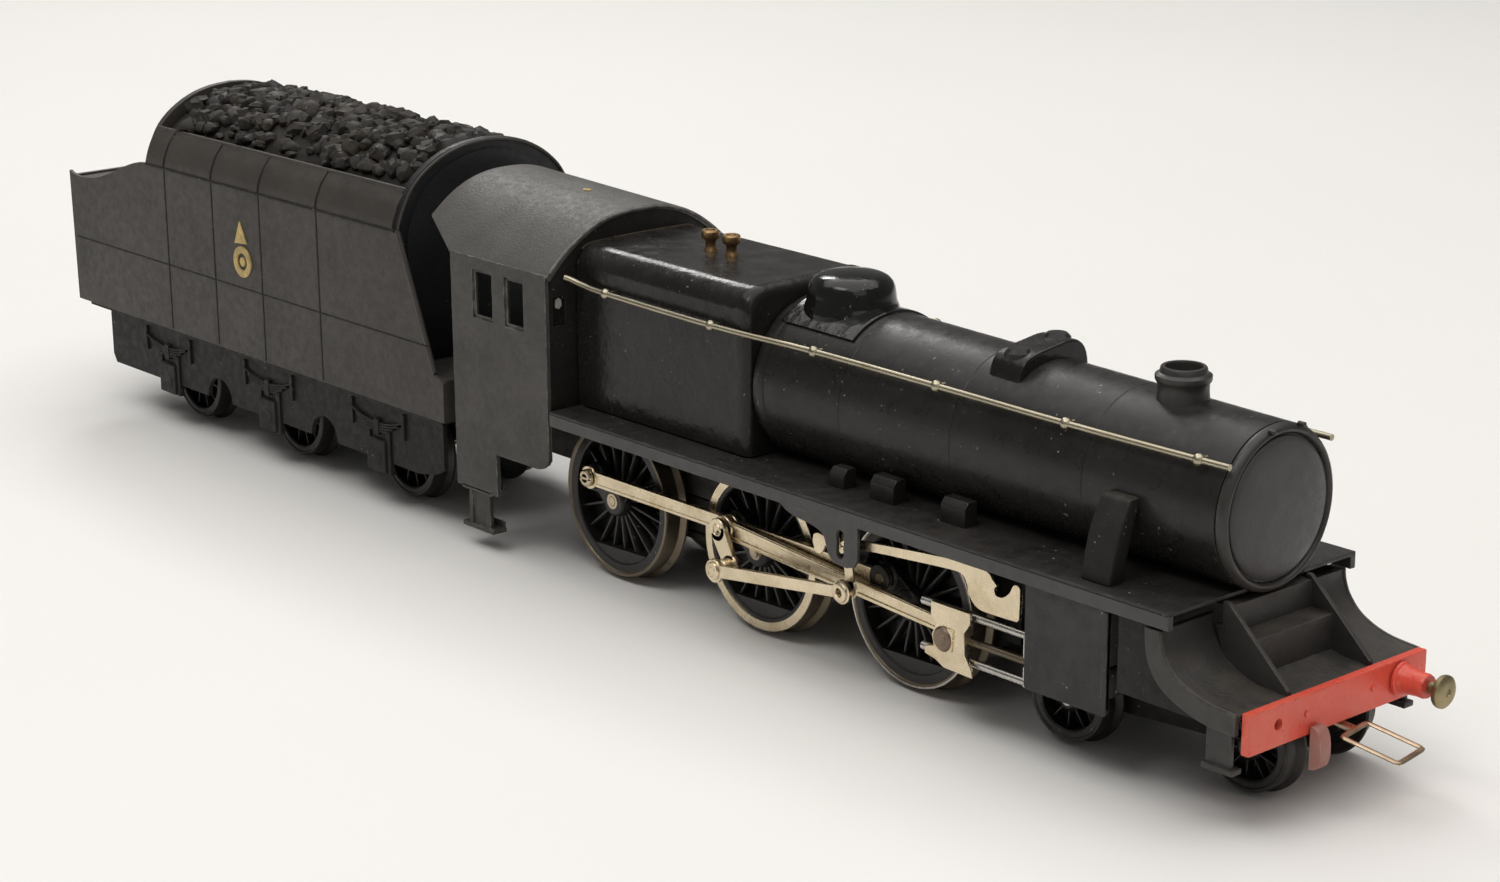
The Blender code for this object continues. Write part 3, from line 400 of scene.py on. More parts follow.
def finish(name, slot, colour, rough, metallic=0.0, mottle=0.25, mottle_scale=60.0, grain=0.15,
           grain_scale=1800.0, top_dust_and_sheen=0.0, top_dust_and_sheen_colour=(0.20, 0.17, 0.13), wear_and_edge_highlight=0.0,
           wear_and_edge_highlight_colour=(0.35, 0.33, 0.30), wear_and_edge_highlight_width=0.00025, specks=0.0, brushed=None,
           peel=0.0, rough_spread=0.12, tarnish=None, gleam=0.5):
    """Painted or bare metal with mottling, grain and specks, dust that is partly a painted sheen on
    upward faces, and worn edges that are partly a painted edge highlight.
    """
    g = Graph(name)
    large = g.noise(mottle_scale, 5.0, 0.6)
    base = g.mix(g.between(large, 0.3, 0.7), rgba(colour, 1.0 - mottle),
                 rgba(colour, 1.0 + mottle))
    if tarnish:
        patches = g.noise(mottle_scale * 2.2, 6.0, 0.65)
        base = g.mix(g.between(patches, 0.5, 0.72, 0.0, 0.75), base, rgba(tarnish))
    # Upward faces blend towards a lighter colour: partly dust, partly a painted sheen on the tops.
    if top_dust_and_sheen:
        normal = g.add("ShaderNodeSeparateXYZ", Vector=g.coords.outputs["Normal"]).outputs["Z"]
        cover = g.math("MULTIPLY", g.between(normal, 0.35, 0.95),
                       g.between(g.noise(240.0, 8.0, 0.7), 0.42, 0.72, 0.0, top_dust_and_sheen))
        base = g.mix(cover, base, rgba(top_dust_and_sheen_colour))
    if specks:
        fine = g.noise(1500.0, 2.0, 0.5)
        spots = g.math("MULTIPLY", g.between(fine, 0.70, 0.74, 0.0, specks),
                       g.between(g.noise(90.0, 2.0), 0.45, 0.6))
        base = g.mix(spots, base, rgba((0.34, 0.31, 0.27)))
    # Edges found by the bevel normal blend towards another colour: partly worn paint, partly a
    # painted highlight along the edges.
    if wear_and_edge_highlight:
        bevel = g.add("ShaderNodeBevel", {"samples": 4}, Radius=wear_and_edge_highlight_width)
        true = g.add("ShaderNodeNewGeometry").outputs["Normal"]
        same = g.add("ShaderNodeVectorMath", {"operation": "DOT_PRODUCT"},
                     _0=bevel.outputs["Normal"], _1=true).outputs["Value"]
        edge = g.between(same, 0.985, 0.90)
        broken = g.between(g.noise(420.0, 6.0, 0.7), 0.48, 0.62, 0.0, wear_and_edge_highlight)
        base = g.mix(g.math("MULTIPLY", edge, broken), base, rgba(wear_and_edge_highlight_colour))
    g.feed(g.shader.inputs["Base Color"], base)
    g.shader.inputs["Metallic"].default_value = metallic
    g.shader.inputs["Specular IOR Level"].default_value = gleam
    fine = g.noise(grain_scale * 0.35, 5.0, 0.6)
    g.feed(g.shader.inputs["Roughness"],
           g.between(fine, 0.3, 0.7, rough - rough_spread, rough + rough_spread))
    height = g.noise(grain_scale, 3.0, 0.6)
    if brushed:
        height = g.noise(1.0, 4.0, 0.7, g.stretched(brushed))
    bump = g.add("ShaderNodeBump", Height=height, Strength=grain)
    bump.inputs["Distance"].default_value = 0.0002
    if peel:
        wavy = g.add("ShaderNodeBump", Height=g.noise(420.0, 3.0, 0.5), Strength=peel,
                     Normal=bump.outputs["Normal"])
        wavy.inputs["Distance"].default_value = 0.0004
        bump = wavy
    g.feed(g.shader.inputs["Normal"], bump.outputs["Normal"])
    return g.material


# Its lighter upward faces are partly dust and partly a painted top sheen.
BLACK = finish("paint_boiler", "body_black", (0.018, 0.0165, 0.015), 0.33, mottle=0.3, grain=0.08,
               specks=0.8, top_dust_and_sheen=0.7, top_dust_and_sheen_colour=(0.046, 0.043, 0.039), gleam=0.30)
# Its lighter upward faces are partly dust and partly a painted top sheen; its lighter edges are
# partly wear and partly a painted shoulder highlight.
FIREBOX_BLACK = finish("paint_firebox", "body_black", (0.015, 0.014, 0.013), 0.24, mottle=0.3,
                       grain=0.2, grain_scale=1100.0, specks=0.9, peel=0.28, wear_and_edge_highlight=0.25,
                       wear_and_edge_highlight_colour=(0.10, 0.09, 0.08), rough_spread=0.08, gleam=0.25, top_dust_and_sheen=0.7,
                       top_dust_and_sheen_colour=(0.046, 0.043, 0.040))
# The door disc is a lighter grey than the smokebox black: a painted sheen on the convex door.
DOOR_SHEEN_GREY = finish("paint_door_painted_sheen", "body_black", (0.056, 0.055, 0.056), 0.38, mottle=0.18, grain=0.12,
                   mottle_scale=150.0, peel=0.15, gleam=0.36)
SMOKEBOX_BLACK = finish("paint_smokebox", "body_black", (0.029, 0.027, 0.024), 0.42, mottle=0.35,
                        grain=0.15, mottle_scale=110.0)
GLOSS = finish("paint_gloss", "gloss_black", (0.008, 0.008, 0.0075), 0.14, mottle=0.2, grain=0.05,
               specks=0.7, peel=0.3, rough_spread=0.06, gleam=0.42)
CAB_PAINT = finish("paint_cab", "cab_black", (0.058, 0.054, 0.049), 0.52, mottle=0.22,
                   mottle_scale=140.0, grain=0.55, grain_scale=2600.0, wear_and_edge_highlight=0.7,
                   wear_and_edge_highlight_colour=(0.42, 0.40, 0.36), top_dust_and_sheen=0.10, peel=0.12, gleam=0.36)
TENDER_PAINT = finish("paint_tender", "tender_black", (0.047, 0.042, 0.037), 0.48, mottle=0.2,
                      mottle_scale=70.0, grain=0.3, grain_scale=2200.0, wear_and_edge_highlight=0.35,
                      wear_and_edge_highlight_colour=(0.16, 0.15, 0.13), top_dust_and_sheen=0.55, top_dust_and_sheen_colour=(0.11, 0.104, 0.095),
                      gleam=0.34)
ROOF_PAINT = finish("paint_roof", "cab_black", (0.078, 0.075, 0.070), 0.5, mottle=0.18,
                    mottle_scale=120.0, grain=0.5, grain_scale=2600.0, wear_and_edge_highlight=0.8,
                    wear_and_edge_highlight_colour=(0.46, 0.44, 0.40), top_dust_and_sheen=0.06)
WORN_EDGE = finish("paint_worn_edge", "cab_black", (0.15, 0.145, 0.135), 0.4, mottle=0.6,
                   mottle_scale=700.0, grain=0.4, tarnish=(0.03, 0.028, 0.026))
# Near-black paint for the tender's front wall: painted shade on a face that sits in shadow.
TENDER_PAINTED_SHADE = finish("painted_shade_tender_front", "tender_black", (0.007, 0.0075, 0.009), 0.5, mottle=0.25,
                     grain=0.3, mottle_scale=90.0, specks=0.5)
# Its lighter edges are partly wear and partly a painted edge highlight.
PLATE_PAINT = finish("paint_plate", "body_black", (0.021, 0.0185, 0.017), 0.5, mottle=0.35,
                     grain=0.35, grain_scale=1500.0, top_dust_and_sheen=0.15, top_dust_and_sheen_colour=(0.07, 0.06, 0.05),
                     specks=1.0, wear_and_edge_highlight=0.6, wear_and_edge_highlight_colour=(0.13, 0.12, 0.11))
FRONT_PAINT = finish("paint_front", "body_black", (0.037, 0.034, 0.031), 0.5, mottle=0.3, grain=0.3,
                     grain_scale=1500.0, top_dust_and_sheen=0.45, top_dust_and_sheen_colour=(0.085, 0.065, 0.045), wear_and_edge_highlight=0.4,
                     wear_and_edge_highlight_colour=(0.15, 0.14, 0.13))
# Its lighter edges are partly wear and partly a painted edge highlight.
EDGE_PAINT = finish("paint_edge", "body_black", (0.052, 0.050, 0.048), 0.46, mottle=0.15,
                    grain=0.25, wear_and_edge_highlight=0.5, wear_and_edge_highlight_colour=(0.2, 0.19, 0.18))
FRAME_PAINT = finish("paint_frame", "body_black", (0.011, 0.010, 0.009), 0.6, mottle=0.35,
                     grain=0.35, top_dust_and_sheen=0.2, specks=0.8, gleam=0.35)
WHEEL_BLACK = finish("paint_wheel", "wheel_black", (0.011, 0.010, 0.009), 0.38, mottle=0.3,
                     grain=0.2, specks=0.6, wear_and_edge_highlight=0.5, wear_and_edge_highlight_colour=(0.10, 0.09, 0.08),
                     wear_and_edge_highlight_width=0.00015)
RED = finish("paint_red", "beam_red", (0.78, 0.100, 0.062), 0.33, mottle=0.14, grain=0.2, peel=0.1,
             wear_and_edge_highlight=0.7, wear_and_edge_highlight_colour=(0.12, 0.03, 0.02), tarnish=(0.74, 0.155, 0.10),
             mottle_scale=34.0)
NICKEL = finish("nickel_silver", "nickel_silver", (0.74, 0.63, 0.45), 0.30, 1.0, mottle=0.10,
                mottle_scale=90.0, grain=0.10, brushed=(500.0, 4000.0, 4000.0),
                tarnish=(0.50, 0.39, 0.22), rough_spread=0.10)
RIM_METAL = finish("rim_metal", None, (0.56, 0.47, 0.34), 0.30, 1.0, mottle=0.15, grain=0.15,
                   tarnish=(0.25, 0.18, 0.10))
DARK_RIM = finish("dark_rim", "brass", (0.20, 0.165, 0.12), 0.42, 1.0, mottle=0.3, grain=0.2,
                  tarnish=(0.05, 0.04, 0.03))
TYRE_BLACK = finish("tyre_black", "wheel_black", (0.030, 0.027, 0.024), 0.42, 0.4, mottle=0.3,
                    grain=0.2, tarnish=(0.012, 0.010, 0.009), wear_and_edge_highlight=0.3,
                    wear_and_edge_highlight_colour=(0.16, 0.14, 0.11))
STEEL = finish("bright_steel", "steel", (0.55, 0.53, 0.50), 0.28, 1.0, mottle=0.12, grain=0.05,
               tarnish=(0.32, 0.28, 0.22))
RAIL_METAL = finish("handrail_metal", "brass", (0.42, 0.38, 0.28), 0.34, 1.0, mottle=0.15,
                    grain=0.03, tarnish=(0.30, 0.25, 0.16), rough_spread=0.05)
BOSS_BRONZE = finish("boss_bronze", "brass", (0.21, 0.155, 0.115), 0.40, 0.85, mottle=0.3,
                     grain=0.1, tarnish=(0.09, 0.065, 0.05))
OLD_BRASS = finish("old_brass", "brass", (0.33, 0.21, 0.10), 0.42, 1.0, mottle=0.25, grain=0.2,
                   tarnish=(0.17, 0.10, 0.05), mottle_scale=300.0)
BUFFER_BRASS = finish("buffer_brass", "brass", (0.36, 0.30, 0.17), 0.45, 1.0, mottle=0.2, grain=0.2,
                      tarnish=(0.18, 0.14, 0.08), mottle_scale=160.0)
LOOP_METAL = finish("loop_metal", "brass", (0.50, 0.40, 0.28), 0.38, 1.0, mottle=0.2, grain=0.15,
                    tarnish=(0.22, 0.13, 0.07), mottle_scale=130.0)
HOOK_RED = finish("hook_red", "beam_red", (0.36, 0.15, 0.12), 0.45, mottle=0.2, grain=0.3, wear_and_edge_highlight=0.8,
                  wear_and_edge_highlight_colour=(0.45, 0.38, 0.32), tarnish=(0.30, 0.19, 0.15), mottle_scale=200.0)
# Its lighter lump edges are a painted highlight.
COAL = finish("coal", "coal", (0.018, 0.0155, 0.013), 0.6, mottle=0.5, mottle_scale=160.0,
              grain=0.6, grain_scale=900.0, tarnish=(0.050, 0.036, 0.021), rough_spread=0.15,
              wear_and_edge_highlight=0.3, wear_and_edge_highlight_colour=(0.06, 0.05, 0.04), gleam=0.35)
MOTOR_METAL = finish("motor_metal", None, (0.10, 0.095, 0.09), 0.5, 0.6, mottle=0.3, grain=0.3)
GEAR_BRASS = finish("gear_brass", "gear_brass", (0.50, 0.36, 0.17), 0.4, 1.0, mottle=0.2, grain=0.2)
GOLD = finish("emblem_gold", "brass", (0.52, 0.38, 0.13), 0.5, mottle=0.35, mottle_scale=500.0,
              grain=0.2, tarnish=(0.20, 0.13, 0.07))
# White used only for the painted light patch on the cab window pane.
LIGHT_PATCH_WHITE = finish("pane_light_patch_white", "cab_black", (0.33, 0.32, 0.31), 0.5, mottle=0.25, mottle_scale=600.0,
               grain=0.3)


# --------------------------------------------------------------- boiler group
def boiler_size(x):
    """Radius and centre height of the tapered boiler at a station."""
    along = (82.9 - x) / 83.8
    return 10.83 + 1.37 * along, 35.66 + 0.54 * along


def boiler_ring(x, grow=0.0, points=96, flat=26.0):
    """Round boiler section, cut level where it meets the plate."""
    radius, middle = boiler_size(x)
    ring = []
    for k in range(points):
        angle = math.tau * (k + 0.5) / points
        z = max(middle + (radius + grow) * math.sin(angle), flat)
        ring.append((x, (radius + grow) * math.cos(angle), z))
    return ring


stations = [(-0.6, -0.25), (-0.35, 0.0), (0.35, 0.02), (0.5, 0.16), (1.7, 0.16), (1.85, 0.0)]
for seam in (17.0, 38.2, 61.5):
    stations += [(seam - 0.12, 0.0), (seam - 0.04, -0.13), (seam + 0.04, -0.13), (seam + 0.12, 0.0)]
stations += [(75.0, 0.0), (82.95, 0.0), (83.15, -0.12)]
piece("boiler_barrel", loft([boiler_ring(x, grow) for x, grow in stations]), BLACK, "loco",
      ["boiler"], crease=60.0)

DOOR_Z = 35.66
rim_profile = [(83.2, 0.0), (83.2, 10.7), (83.4, 10.83), (83.9, 10.8), (84.35, 10.55),
               (84.6, 10.2), (84.65, 9.95), (84.5, 9.75), (84.2, 9.6), (83.95, 9.45), (83.95, 0.0)]
door_profile = [(83.8, 0.0), (83.8, 9.3), (84.2, 9.32), (84.45, 9.15), (84.78, 8.5),
                (85.05, 6.9), (85.28, 4.6), (85.41, 2.2), (85.45, 0.6), (85.45, 0.0)]
door = turned(rim_profile, "X", (0.0, 0.0, DOOR_Z), 96)
# The door disc takes the lighter grey of the painted sheen.
piece("smokebox_disc", turned(door_profile, "X", (0.0, 0.0, DOOR_Z), 96), DOOR_SHEEN_GREY, "loco",
      crease=50.0)
stubs = [drum("X", (0.0, y, DOOR_Z + 10.35), 0.34, 84.2, 85.3, 12, 0.08) for y in (-2.4, 3.2)]
piece("smokebox_front", gather(door, *stubs), SMOKEBOX_BLACK, "loco", ["smokebox_door"],
      crease=50.0)

chimney_profile = [(8.6, 0.0), (8.6, 5.0), (9.6, 4.7), (10.3, 4.3), (11.0, 3.8), (12.0, 3.45),
                   (13.4, 3.32), (14.3, 3.34), (14.6, 3.55), (14.9, 3.66), (15.4, 3.66),
                   (15.6, 3.4), (15.75, 3.12), (16.35, 2.98), (16.5, 2.85), (16.5, 2.45),
                   (16.2, 2.3), (13.6, 2.2), (13.6, 0.0)]
piece("chimney_casting", turned(chimney_profile, "Z", (68.3, 0.0, 34.3), 48), SMOKEBOX_BLACK,
      "loco", ["chimney"])

dome_profile = [(9.6, 0.0), (9.6, 7.0), (11.6, 6.9), (12.3, 6.65), (12.9, 6.42), (13.9, 6.3),
                (14.8, 6.15), (15.5, 5.85), (16.05, 5.35), (16.4, 4.75), (16.62, 4.1), (16.85, 2.6),
                (16.95, 1.2), (16.98, 0.0)]


def saddle(x, grow):
    """Arc over the top of the boiler, closed underneath it."""
    radius, middle = boiler_size(x)
    angles = [math.radians(50.0 + 80.0 * k / 24) for k in range(25)]
    outer = [(x, (radius + grow) * math.cos(a), middle + (radius + grow) * math.sin(a))
             for a in angles]
    inner = [(x, (radius - 0.6) * math.cos(a), middle + (radius - 0.6) * math.sin(a))
             for a in reversed(angles)]
    return outer + inner


shell = loft([saddle(x, grow) for x, grow in ((0.9, 0.05), (1.05, 0.34), (1.4, 0.42),
                                              (15.2, 0.42), (15.55, 0.34), (15.7, 0.05))])
piece("steam_dome", gather(turned(dome_profile, "Z", (7.0, 0.0, 35.7), 72), shell), GLOSS, "loco",
      ["dome"])

feed_outline = smooth_line([(-6.8, 42.4), (-6.6, 45.6), (-5.6, 47.8), (-3.4, 48.7), (0.0, 49.2),
                            (3.2, 49.5), (5.4, 48.7), (6.5, 46.6), (6.8, 42.4)], 4)
feed = slab(feed_outline + [(6.0, 41.0), (-6.0, 41.0)], "X", 40.4, 46.2, 0.45)
caps = [drum("Z", (43.3, y, 0.0), 1.9, 46.0, top, 20, 0.5)
        for y, top in ((-3.9, 49.0), (3.4, 49.9))]
piece("feed_casing", gather(feed, *caps), FIREBOX_BLACK, "loco", ["top_feed"])


# -------------------------------------------------------------------- firebox
def firebox_ring(x, top, inset=0.0, base=26.0):
    """Square-shouldered outline with round corners."""
    half = round_corner((8.9 - inset * 0.6, top - 3.7), 3.7 - inset * 0.4, 8, 86, 9)
    right = [(12.6 - inset, base), (12.6 - inset, 40.0)] + half
    ring = right + [(0.0, top + 0.12 - inset)]
    return [(x, y, z) for y, z in ring] + [(x, -y, z) for y, z in reversed(right)]


def firebox_top(x):
    """Height of the firebox top, which falls a little towards the front."""
    return 50.5 - 0.3 * (x + 39.9) / 39.0


fire_rings = [firebox_ring(x, firebox_top(x) - drop, inset)
              for x, drop, inset in ((-39.9, 0.0, 0.0), (-20.0, 0.0, 0.0), (-4.2, 0.0, 0.0),
                                     (-3.4, -0.12, -0.1), (-2.2, -0.1, -0.1), (-1.5, 0.15, 0.1),
                                     (-1.05, 0.55, 0.5), (-0.9, 1.2, 1.1))]
piece("firebox_shell", loft(fire_rings), FIREBOX_BLACK, "loco", ["firebox"], crease=60.0)

for number, x in enumerate((-23.6, -18.9), 1):
    profile = [(-0.4, 0.0), (-0.4, 1.05), (0.1, 1.0), (0.4, 0.8), (0.7, 0.75), (1.4, 0.8),
               (1.7, 1.0), (1.85, 1.25), (2.1, 1.36), (2.9, 1.36), (3.1, 1.2), (3.1, 0.75),
               (2.9, 0.65), (2.9, 0.0)]
    piece(f"safety_valve_turned_{number}", turned(profile, "Z", (x, 0.0, 50.6), 28), OLD_BRASS,
          "loco", [f"safety_valve_{number}"])

RAIL_PATH = ((-39.6, -15.1, 46.1), (-38.6, -14.6, 45.8), (-36.4, -14.0, 45.2),
             (-31.3, -13.9, 44.8), (-7.4, -13.9, 44.4), (12.0, -11.8, 43.9), (35.2, -11.0, 43.5),
             (57.9, -10.3, 43.0), (79.6, -9.9, 42.9), (84.4, -9.8, 42.9))
for side, tag in SIDES.items():
    path = [(x, -side * y, z) for x, y, z in smooth_line(RAIL_PATH, 5)]
    parts = [tube(path, 0.43)]
    for x, y, z in RAIL_PATH[3:9]:
        spot = (x, -side * y, z)
        ball = [(-0.8, 0.0), (-0.76, 0.3), (-0.5, 0.65), (-0.18, 0.8), (0.18, 0.8), (0.5, 0.65),
                (0.76, 0.3), (0.8, 0.0)]
        parts.append(turned(ball, "Y", spot, 20))
        parts.append(turned([(-0.5, 0.0), (-0.5, 0.62), (0.5, 0.62), (0.5, 0.0)], "X", spot, 16))
        parts.append(drum("Y", (x, 0.0, z), 0.3, -side * y, -side * (y + 1.5), 12, 0.02))
    piece(f"handrail_bar_{tag}", gather(*parts), RAIL_METAL, "loco", [f"handrail_{tag}"])


# ------------------------------------------------------------------------ cab
def roof_z(y, lift=0.0):
    """Height of the arched cab roof across its width."""
    return 46.4 + (8.3 + lift) * (1.0 - (min(abs(y), HALF_WIDTH) / HALF_WIDTH) ** 2.4)


def cab_roof(thick=0.8):
    """Arched sheet that narrows over its rear overhang and rises slightly aft."""
    count = 48
    steps = [-HALF_WIDTH + 2 * HALF_WIDTH * k / count for k in range(count + 1)]
    stations = [(-40.2, 0.0, 1.0), (-52.0, 0.5, 1.0), (-64.7, 1.0, 1.0), (-69.4, 1.2, 0.908),
                (-74.0, 1.4, 0.815)]
    bm = bmesh.new()
    top, low = [], []
    for x, lift, wide in stations:
        top.append([bm.verts.new((x, y * wide, roof_z(y * wide, lift))) for y in steps])
        low.append([bm.verts.new((x, y * wide * 0.956, roof_z(y * wide, lift) - thick))
                    for y in steps])
    cells = {(i, j) for i in range(len(stations) - 1) for j in range(count)}
    for i, j in sorted(cells):
        corners = ((i, j), (i + 1, j), (i + 1, j + 1), (i, j + 1))
        bm.faces.new([top[a][b] for a, b in corners])
        bm.faces.new([low[a][b] for a, b in corners])
        for k, cell in enumerate(((i, j - 1), (i + 1, j), (i, j + 1), (i - 1, j))):
            if cell not in cells:
                (a, b), (c, d) = corners[k], corners[(k + 1) % 4]
                bm.faces.new((top[a][b], top[c][d], low[c][d], low[a][b]))
    return soften(bm, 0.14, 2, 50.0)


def cab_side():
    """Right cab side with two windows, rounded lower front corner and step irons."""
    across = [-64.5, -58.9, -53.9, -50.8, -46.0, -43.4, -42.2, -41.2, -40.5]
    up = [9.0, 12.4, 15.9, 16.3, 17.2, 18.8, 30.0, 37.0, 44.7, 46.6]

    def warp(a, b):
        if b == 15.9 and a > -43.5:
            b = {-43.4: 15.9, -42.2: 16.2, -41.2: 16.9, -40.5: 17.9}[a]
        elif 16.0 < b < 18.0 and a > -43.5:
            b += {-43.4: 0.0, -42.2: 0.3, -41.2: 0.8, -40.5: 1.3}[a]
        return a, b
    missing = [(1, 7), (3, 7)] + [(i, j) for i in (2, 3, 4, 5, 6, 7) for j in (0, 1)]
    parts = [sheet(across, up, missing, "Y", -18.2, -17.5, 0.1, warp)]
    for x0, x1 in ((-58.9, -53.9), (-50.8, -46.0)):
        for a0, a1, b0, b1 in ((x0, x0 + 0.45, 37.0, 44.7), (x1 - 0.45, x1, 37.0, 44.7),
                               (x0, x1, 37.0, 37.45), (x0, x1, 44.25, 44.7)):
            parts.append(block(a0, a1, -17.9, -17.45, b0, b1, 0.08))
    for x0, x1, y0, y1 in ((-61.8, -60.9, -18.0, -17.4), (-57.2, -56.3, -18.0, -17.4),
                           (-61.8, -56.3, -17.7, -17.3)):
        parts.append(block(x0, x1, y0, y1, 3.0, 9.5, 0.1))
    for z in (2.4, 8.6):
        parts.append(block(-63.4, -55.4, -18.2, -15.5, z, z + 0.8, 0.15))
        parts.append(block(-63.2, -55.6, -15.9, -15.5, z + 0.4, z + 1.7, 0.1))
    return gather(*parts)


def cab_front():
    """Front sheet with its two tall spectacle windows and firebox opening."""
    across = [-17.7, -16.6, -14.3, -11.6, -8.0, -4.0, 0.0, 4.0, 8.0, 11.6, 14.3, 16.6, 17.7]
    up = [25.9, 30.0, 38.5, 43.0, 47.6, 60.0]

    def warp(a, b):
        if b == 60.0:
            return a, roof_z(a) - 0.5
        return a, min(b, roof_z(a) - 1.2)
    missing = [(1, 2), (10, 2)] + [(i, j) for i in range(3, 9) for j in range(0, 4)]
    return sheet(across, up, missing, "X", -41.4, -40.6, 0.08, warp)


cab_floor = block(-64.2, -41.5, -17.7, 17.7, 24.9, 25.9, 0.1)
piece("cab_sides", both(cab_side()), CAB_PAINT, "loco", ["cab"])
piece("cab_front_sheet", gather(cab_front(), cab_floor), FRAME_PAINT, "loco", ())
piece("cab_roof_sheet", cab_roof(), ROOF_PAINT, "loco", crease=50.0)
edge_path = [(-40.3, y, roof_z(y) - 0.36) for y in [-17.4 + 34.8 * k / 48 for k in range(49)]]
piece("cab_roof_bead", tube(edge_path, 0.28, 10), WORN_EDGE, "loco")
chip = slab([(-54.2, 0.2), (-53.3, -0.6), (-52.2, -0.3), (-52.5, 0.5), (-53.5, 0.7)], "Z",
            roof_z(0.0, 0.54) - 0.1, roof_z(0.0, 0.54) + 0.14, 0.04)
piece("roof_chip", chip, GOLD, "loco")
seam = [(-40.25, y, z + 0.03) for _, y, z in firebox_ring(-40.25, firebox_top(-40.25)) if z > 49.6]
piece("cab_front_seam", tube(seam, 0.14, 8), DARK_RIM, "loco")
pane = block(-41.25, -40.95, -16.7, -14.2, 38.4, 43.1, 0.0)
piece("cab_pane", pane, GLOSS, "loco")
# A white patch on the window pane: painted light on the glass.
painted_light_patch = slab([(-16.0, 41.3), (-15.3, 41.0), (-14.8, 41.5), (-14.9, 42.4), (-15.4, 42.8),
             (-16.0, 42.4)], "X", -41.0, -40.85, 0.04)
piece("cab_pane_blob", painted_light_patch, LIGHT_PATCH_WHITE, "loco")


# -------------------------------------------------------------- running plate
deck = block(-40.2, 82.7, -HALF_WIDTH, HALF_WIDTH, 25.1, PLATE_Z, 0.14)
boxes = []
for x, half, height in ((17.5, 1.5, 2.8), (26.5, 2.3, 3.4), (40.1, 2.3, 3.4)):
    lid = PLATE_Z + height
    face = [(-12.6, 25.5), (-12.6, lid - 0.9), (-11.9, lid), (-10.2, lid), (-10.2, 25.5)]
    boxes.append(slab(face, "X", x - half, x + half, 0.18))
pipe_face = smooth_line([(-16.3, 25.4), (-15.6, 29.0), (-14.6, 32.5), (-12.6, 36.4)], 4)
pipe_back = [(-10.5, 36.4), (-12.0, 32.0), (-13.6, 25.4)]
pipe = slab(pipe_face + pipe_back, "X", 66.2, 71.3, 0.7)
piece("footplate", deck, PLATE_PAINT, "loco", ["running_plate"])
piece("plate_boxes", gather(*boxes), BLACK, "loco")
piece("steam_pipes", both(pipe), FRAME_PAINT, "loco")


def valance():
    """Right edge of the plate with the bracket that carries the valve gear."""
    edge = block(-40.2, 82.7, -HALF_WIDTH, -17.2, 23.4, 25.45, 0.12)
    outline = ([(12.0, 23.6), (12.0, 23.3)]
               + smooth_line([(13.0, 22.7), (14.2, 22.3), (16.0, 22.0), (18.0, 21.8), (20.0, 21.3),
                              (20.9, 20.6), (21.3, 19.6), (21.8, 18.4), (22.6, 17.6),
                              (23.8, 17.3)], 3)
               + [(25.5, 17.2), (26.8, 17.6), (27.5, 18.6), (27.6, 19.4), (27.6, 23.6)])
    plate = slab(outline, "Y", -18.12, -17.55, 0.1)
    slot = slab(round_corner((24.2, 21.6), 0.75, 0, 180, 8)
                + round_corner((24.2, 18.9), 0.75, 180, 360, 8), "Y", -19.0, -17.0, 0.0)
    return gather(edge, cut(plate, slot))


piece("valances", both(valance()), EDGE_PAINT, "loco")
bracket_screw = drum("Y", (24.2, 0.0, 19.4), 0.5, -17.9, -17.3, 16, 0.1)
piece("bracket_screws", both(bracket_screw), NICKEL, "loco")

# ------------------------------------------------------------------ front end
CURVE = smooth_line([(81.3, 23.1), (81.5, 21.6), (82.4, 19.6), (84.6, 17.5), (88.6, 16.0),
                     (93.6, 15.5)], 6)
UNDER = smooth_line([(93.6, 14.8), (88.3, 15.2), (83.9, 16.8), (81.6, 19.1), (80.6, 21.4),
                     (80.4, 23.1)], 6)
LOWER = smooth_line([(93.6, 12.9), (88.0, 13.3), (82.4, 15.4), (79.6, 18.6), (78.9, 23.1)], 6)


def front_side():
    """Right side of the front apron: edge, web, step, and the inset behind them."""
    edge = slab(CURVE + LOWER, "Y", -HALF_WIDTH, -17.3, 0.14)
    bead_path = [(x - 0.1, -17.75, z - 0.1) for x, z in CURVE]
    inset = slab([(74.0, 23.1), (74.0, 13.0), (88.0, 13.0), (88.0, 15.3), (84.0, 17.0),
                  (82.0, 19.4), (80.6, 23.1)], "Y", -17.4, -16.7, 0.12)
    web = slab([(81.8, 22.0), (83.0, 22.0), (83.0, 25.2), (83.8, 25.2), (93.6, 16.2), (93.6, 15.2),
                (84.0, 16.8)], "Y", -8.4, -7.6, 0.14)
    hanger = block(88.6, 92.6, -17.4, -16.8, 7.9, 15.2, 0.14)
    tread = block(88.3, 93.2, -17.9, -16.0, 7.5, 8.3, 0.15)
    bead = tube(bead_path, 0.3, 8)
    return gather(edge, web, hanger, tread, bead), inset


front_middle = gather(slab(CURVE + UNDER, "Y", -17.4, 17.4, 0.1),
                      block(83.0, 87.6, -7.9, 7.9, 15.8, 21.0, 0.2),
                      block(80.5, 84.0, -7.9, 7.9, 18.0, 24.6, 0.2),
                      block(74.0, 80.6, -6.0, 6.0, 18.0, 24.8, 0.2))
front_edge, front_inset = front_side()
piece("front_apron", gather(front_middle, both(front_edge)), FRONT_PAINT, "loco",
      ["front_platform"])
piece("front_insets", both(front_inset), FRAME_PAINT, "loco")

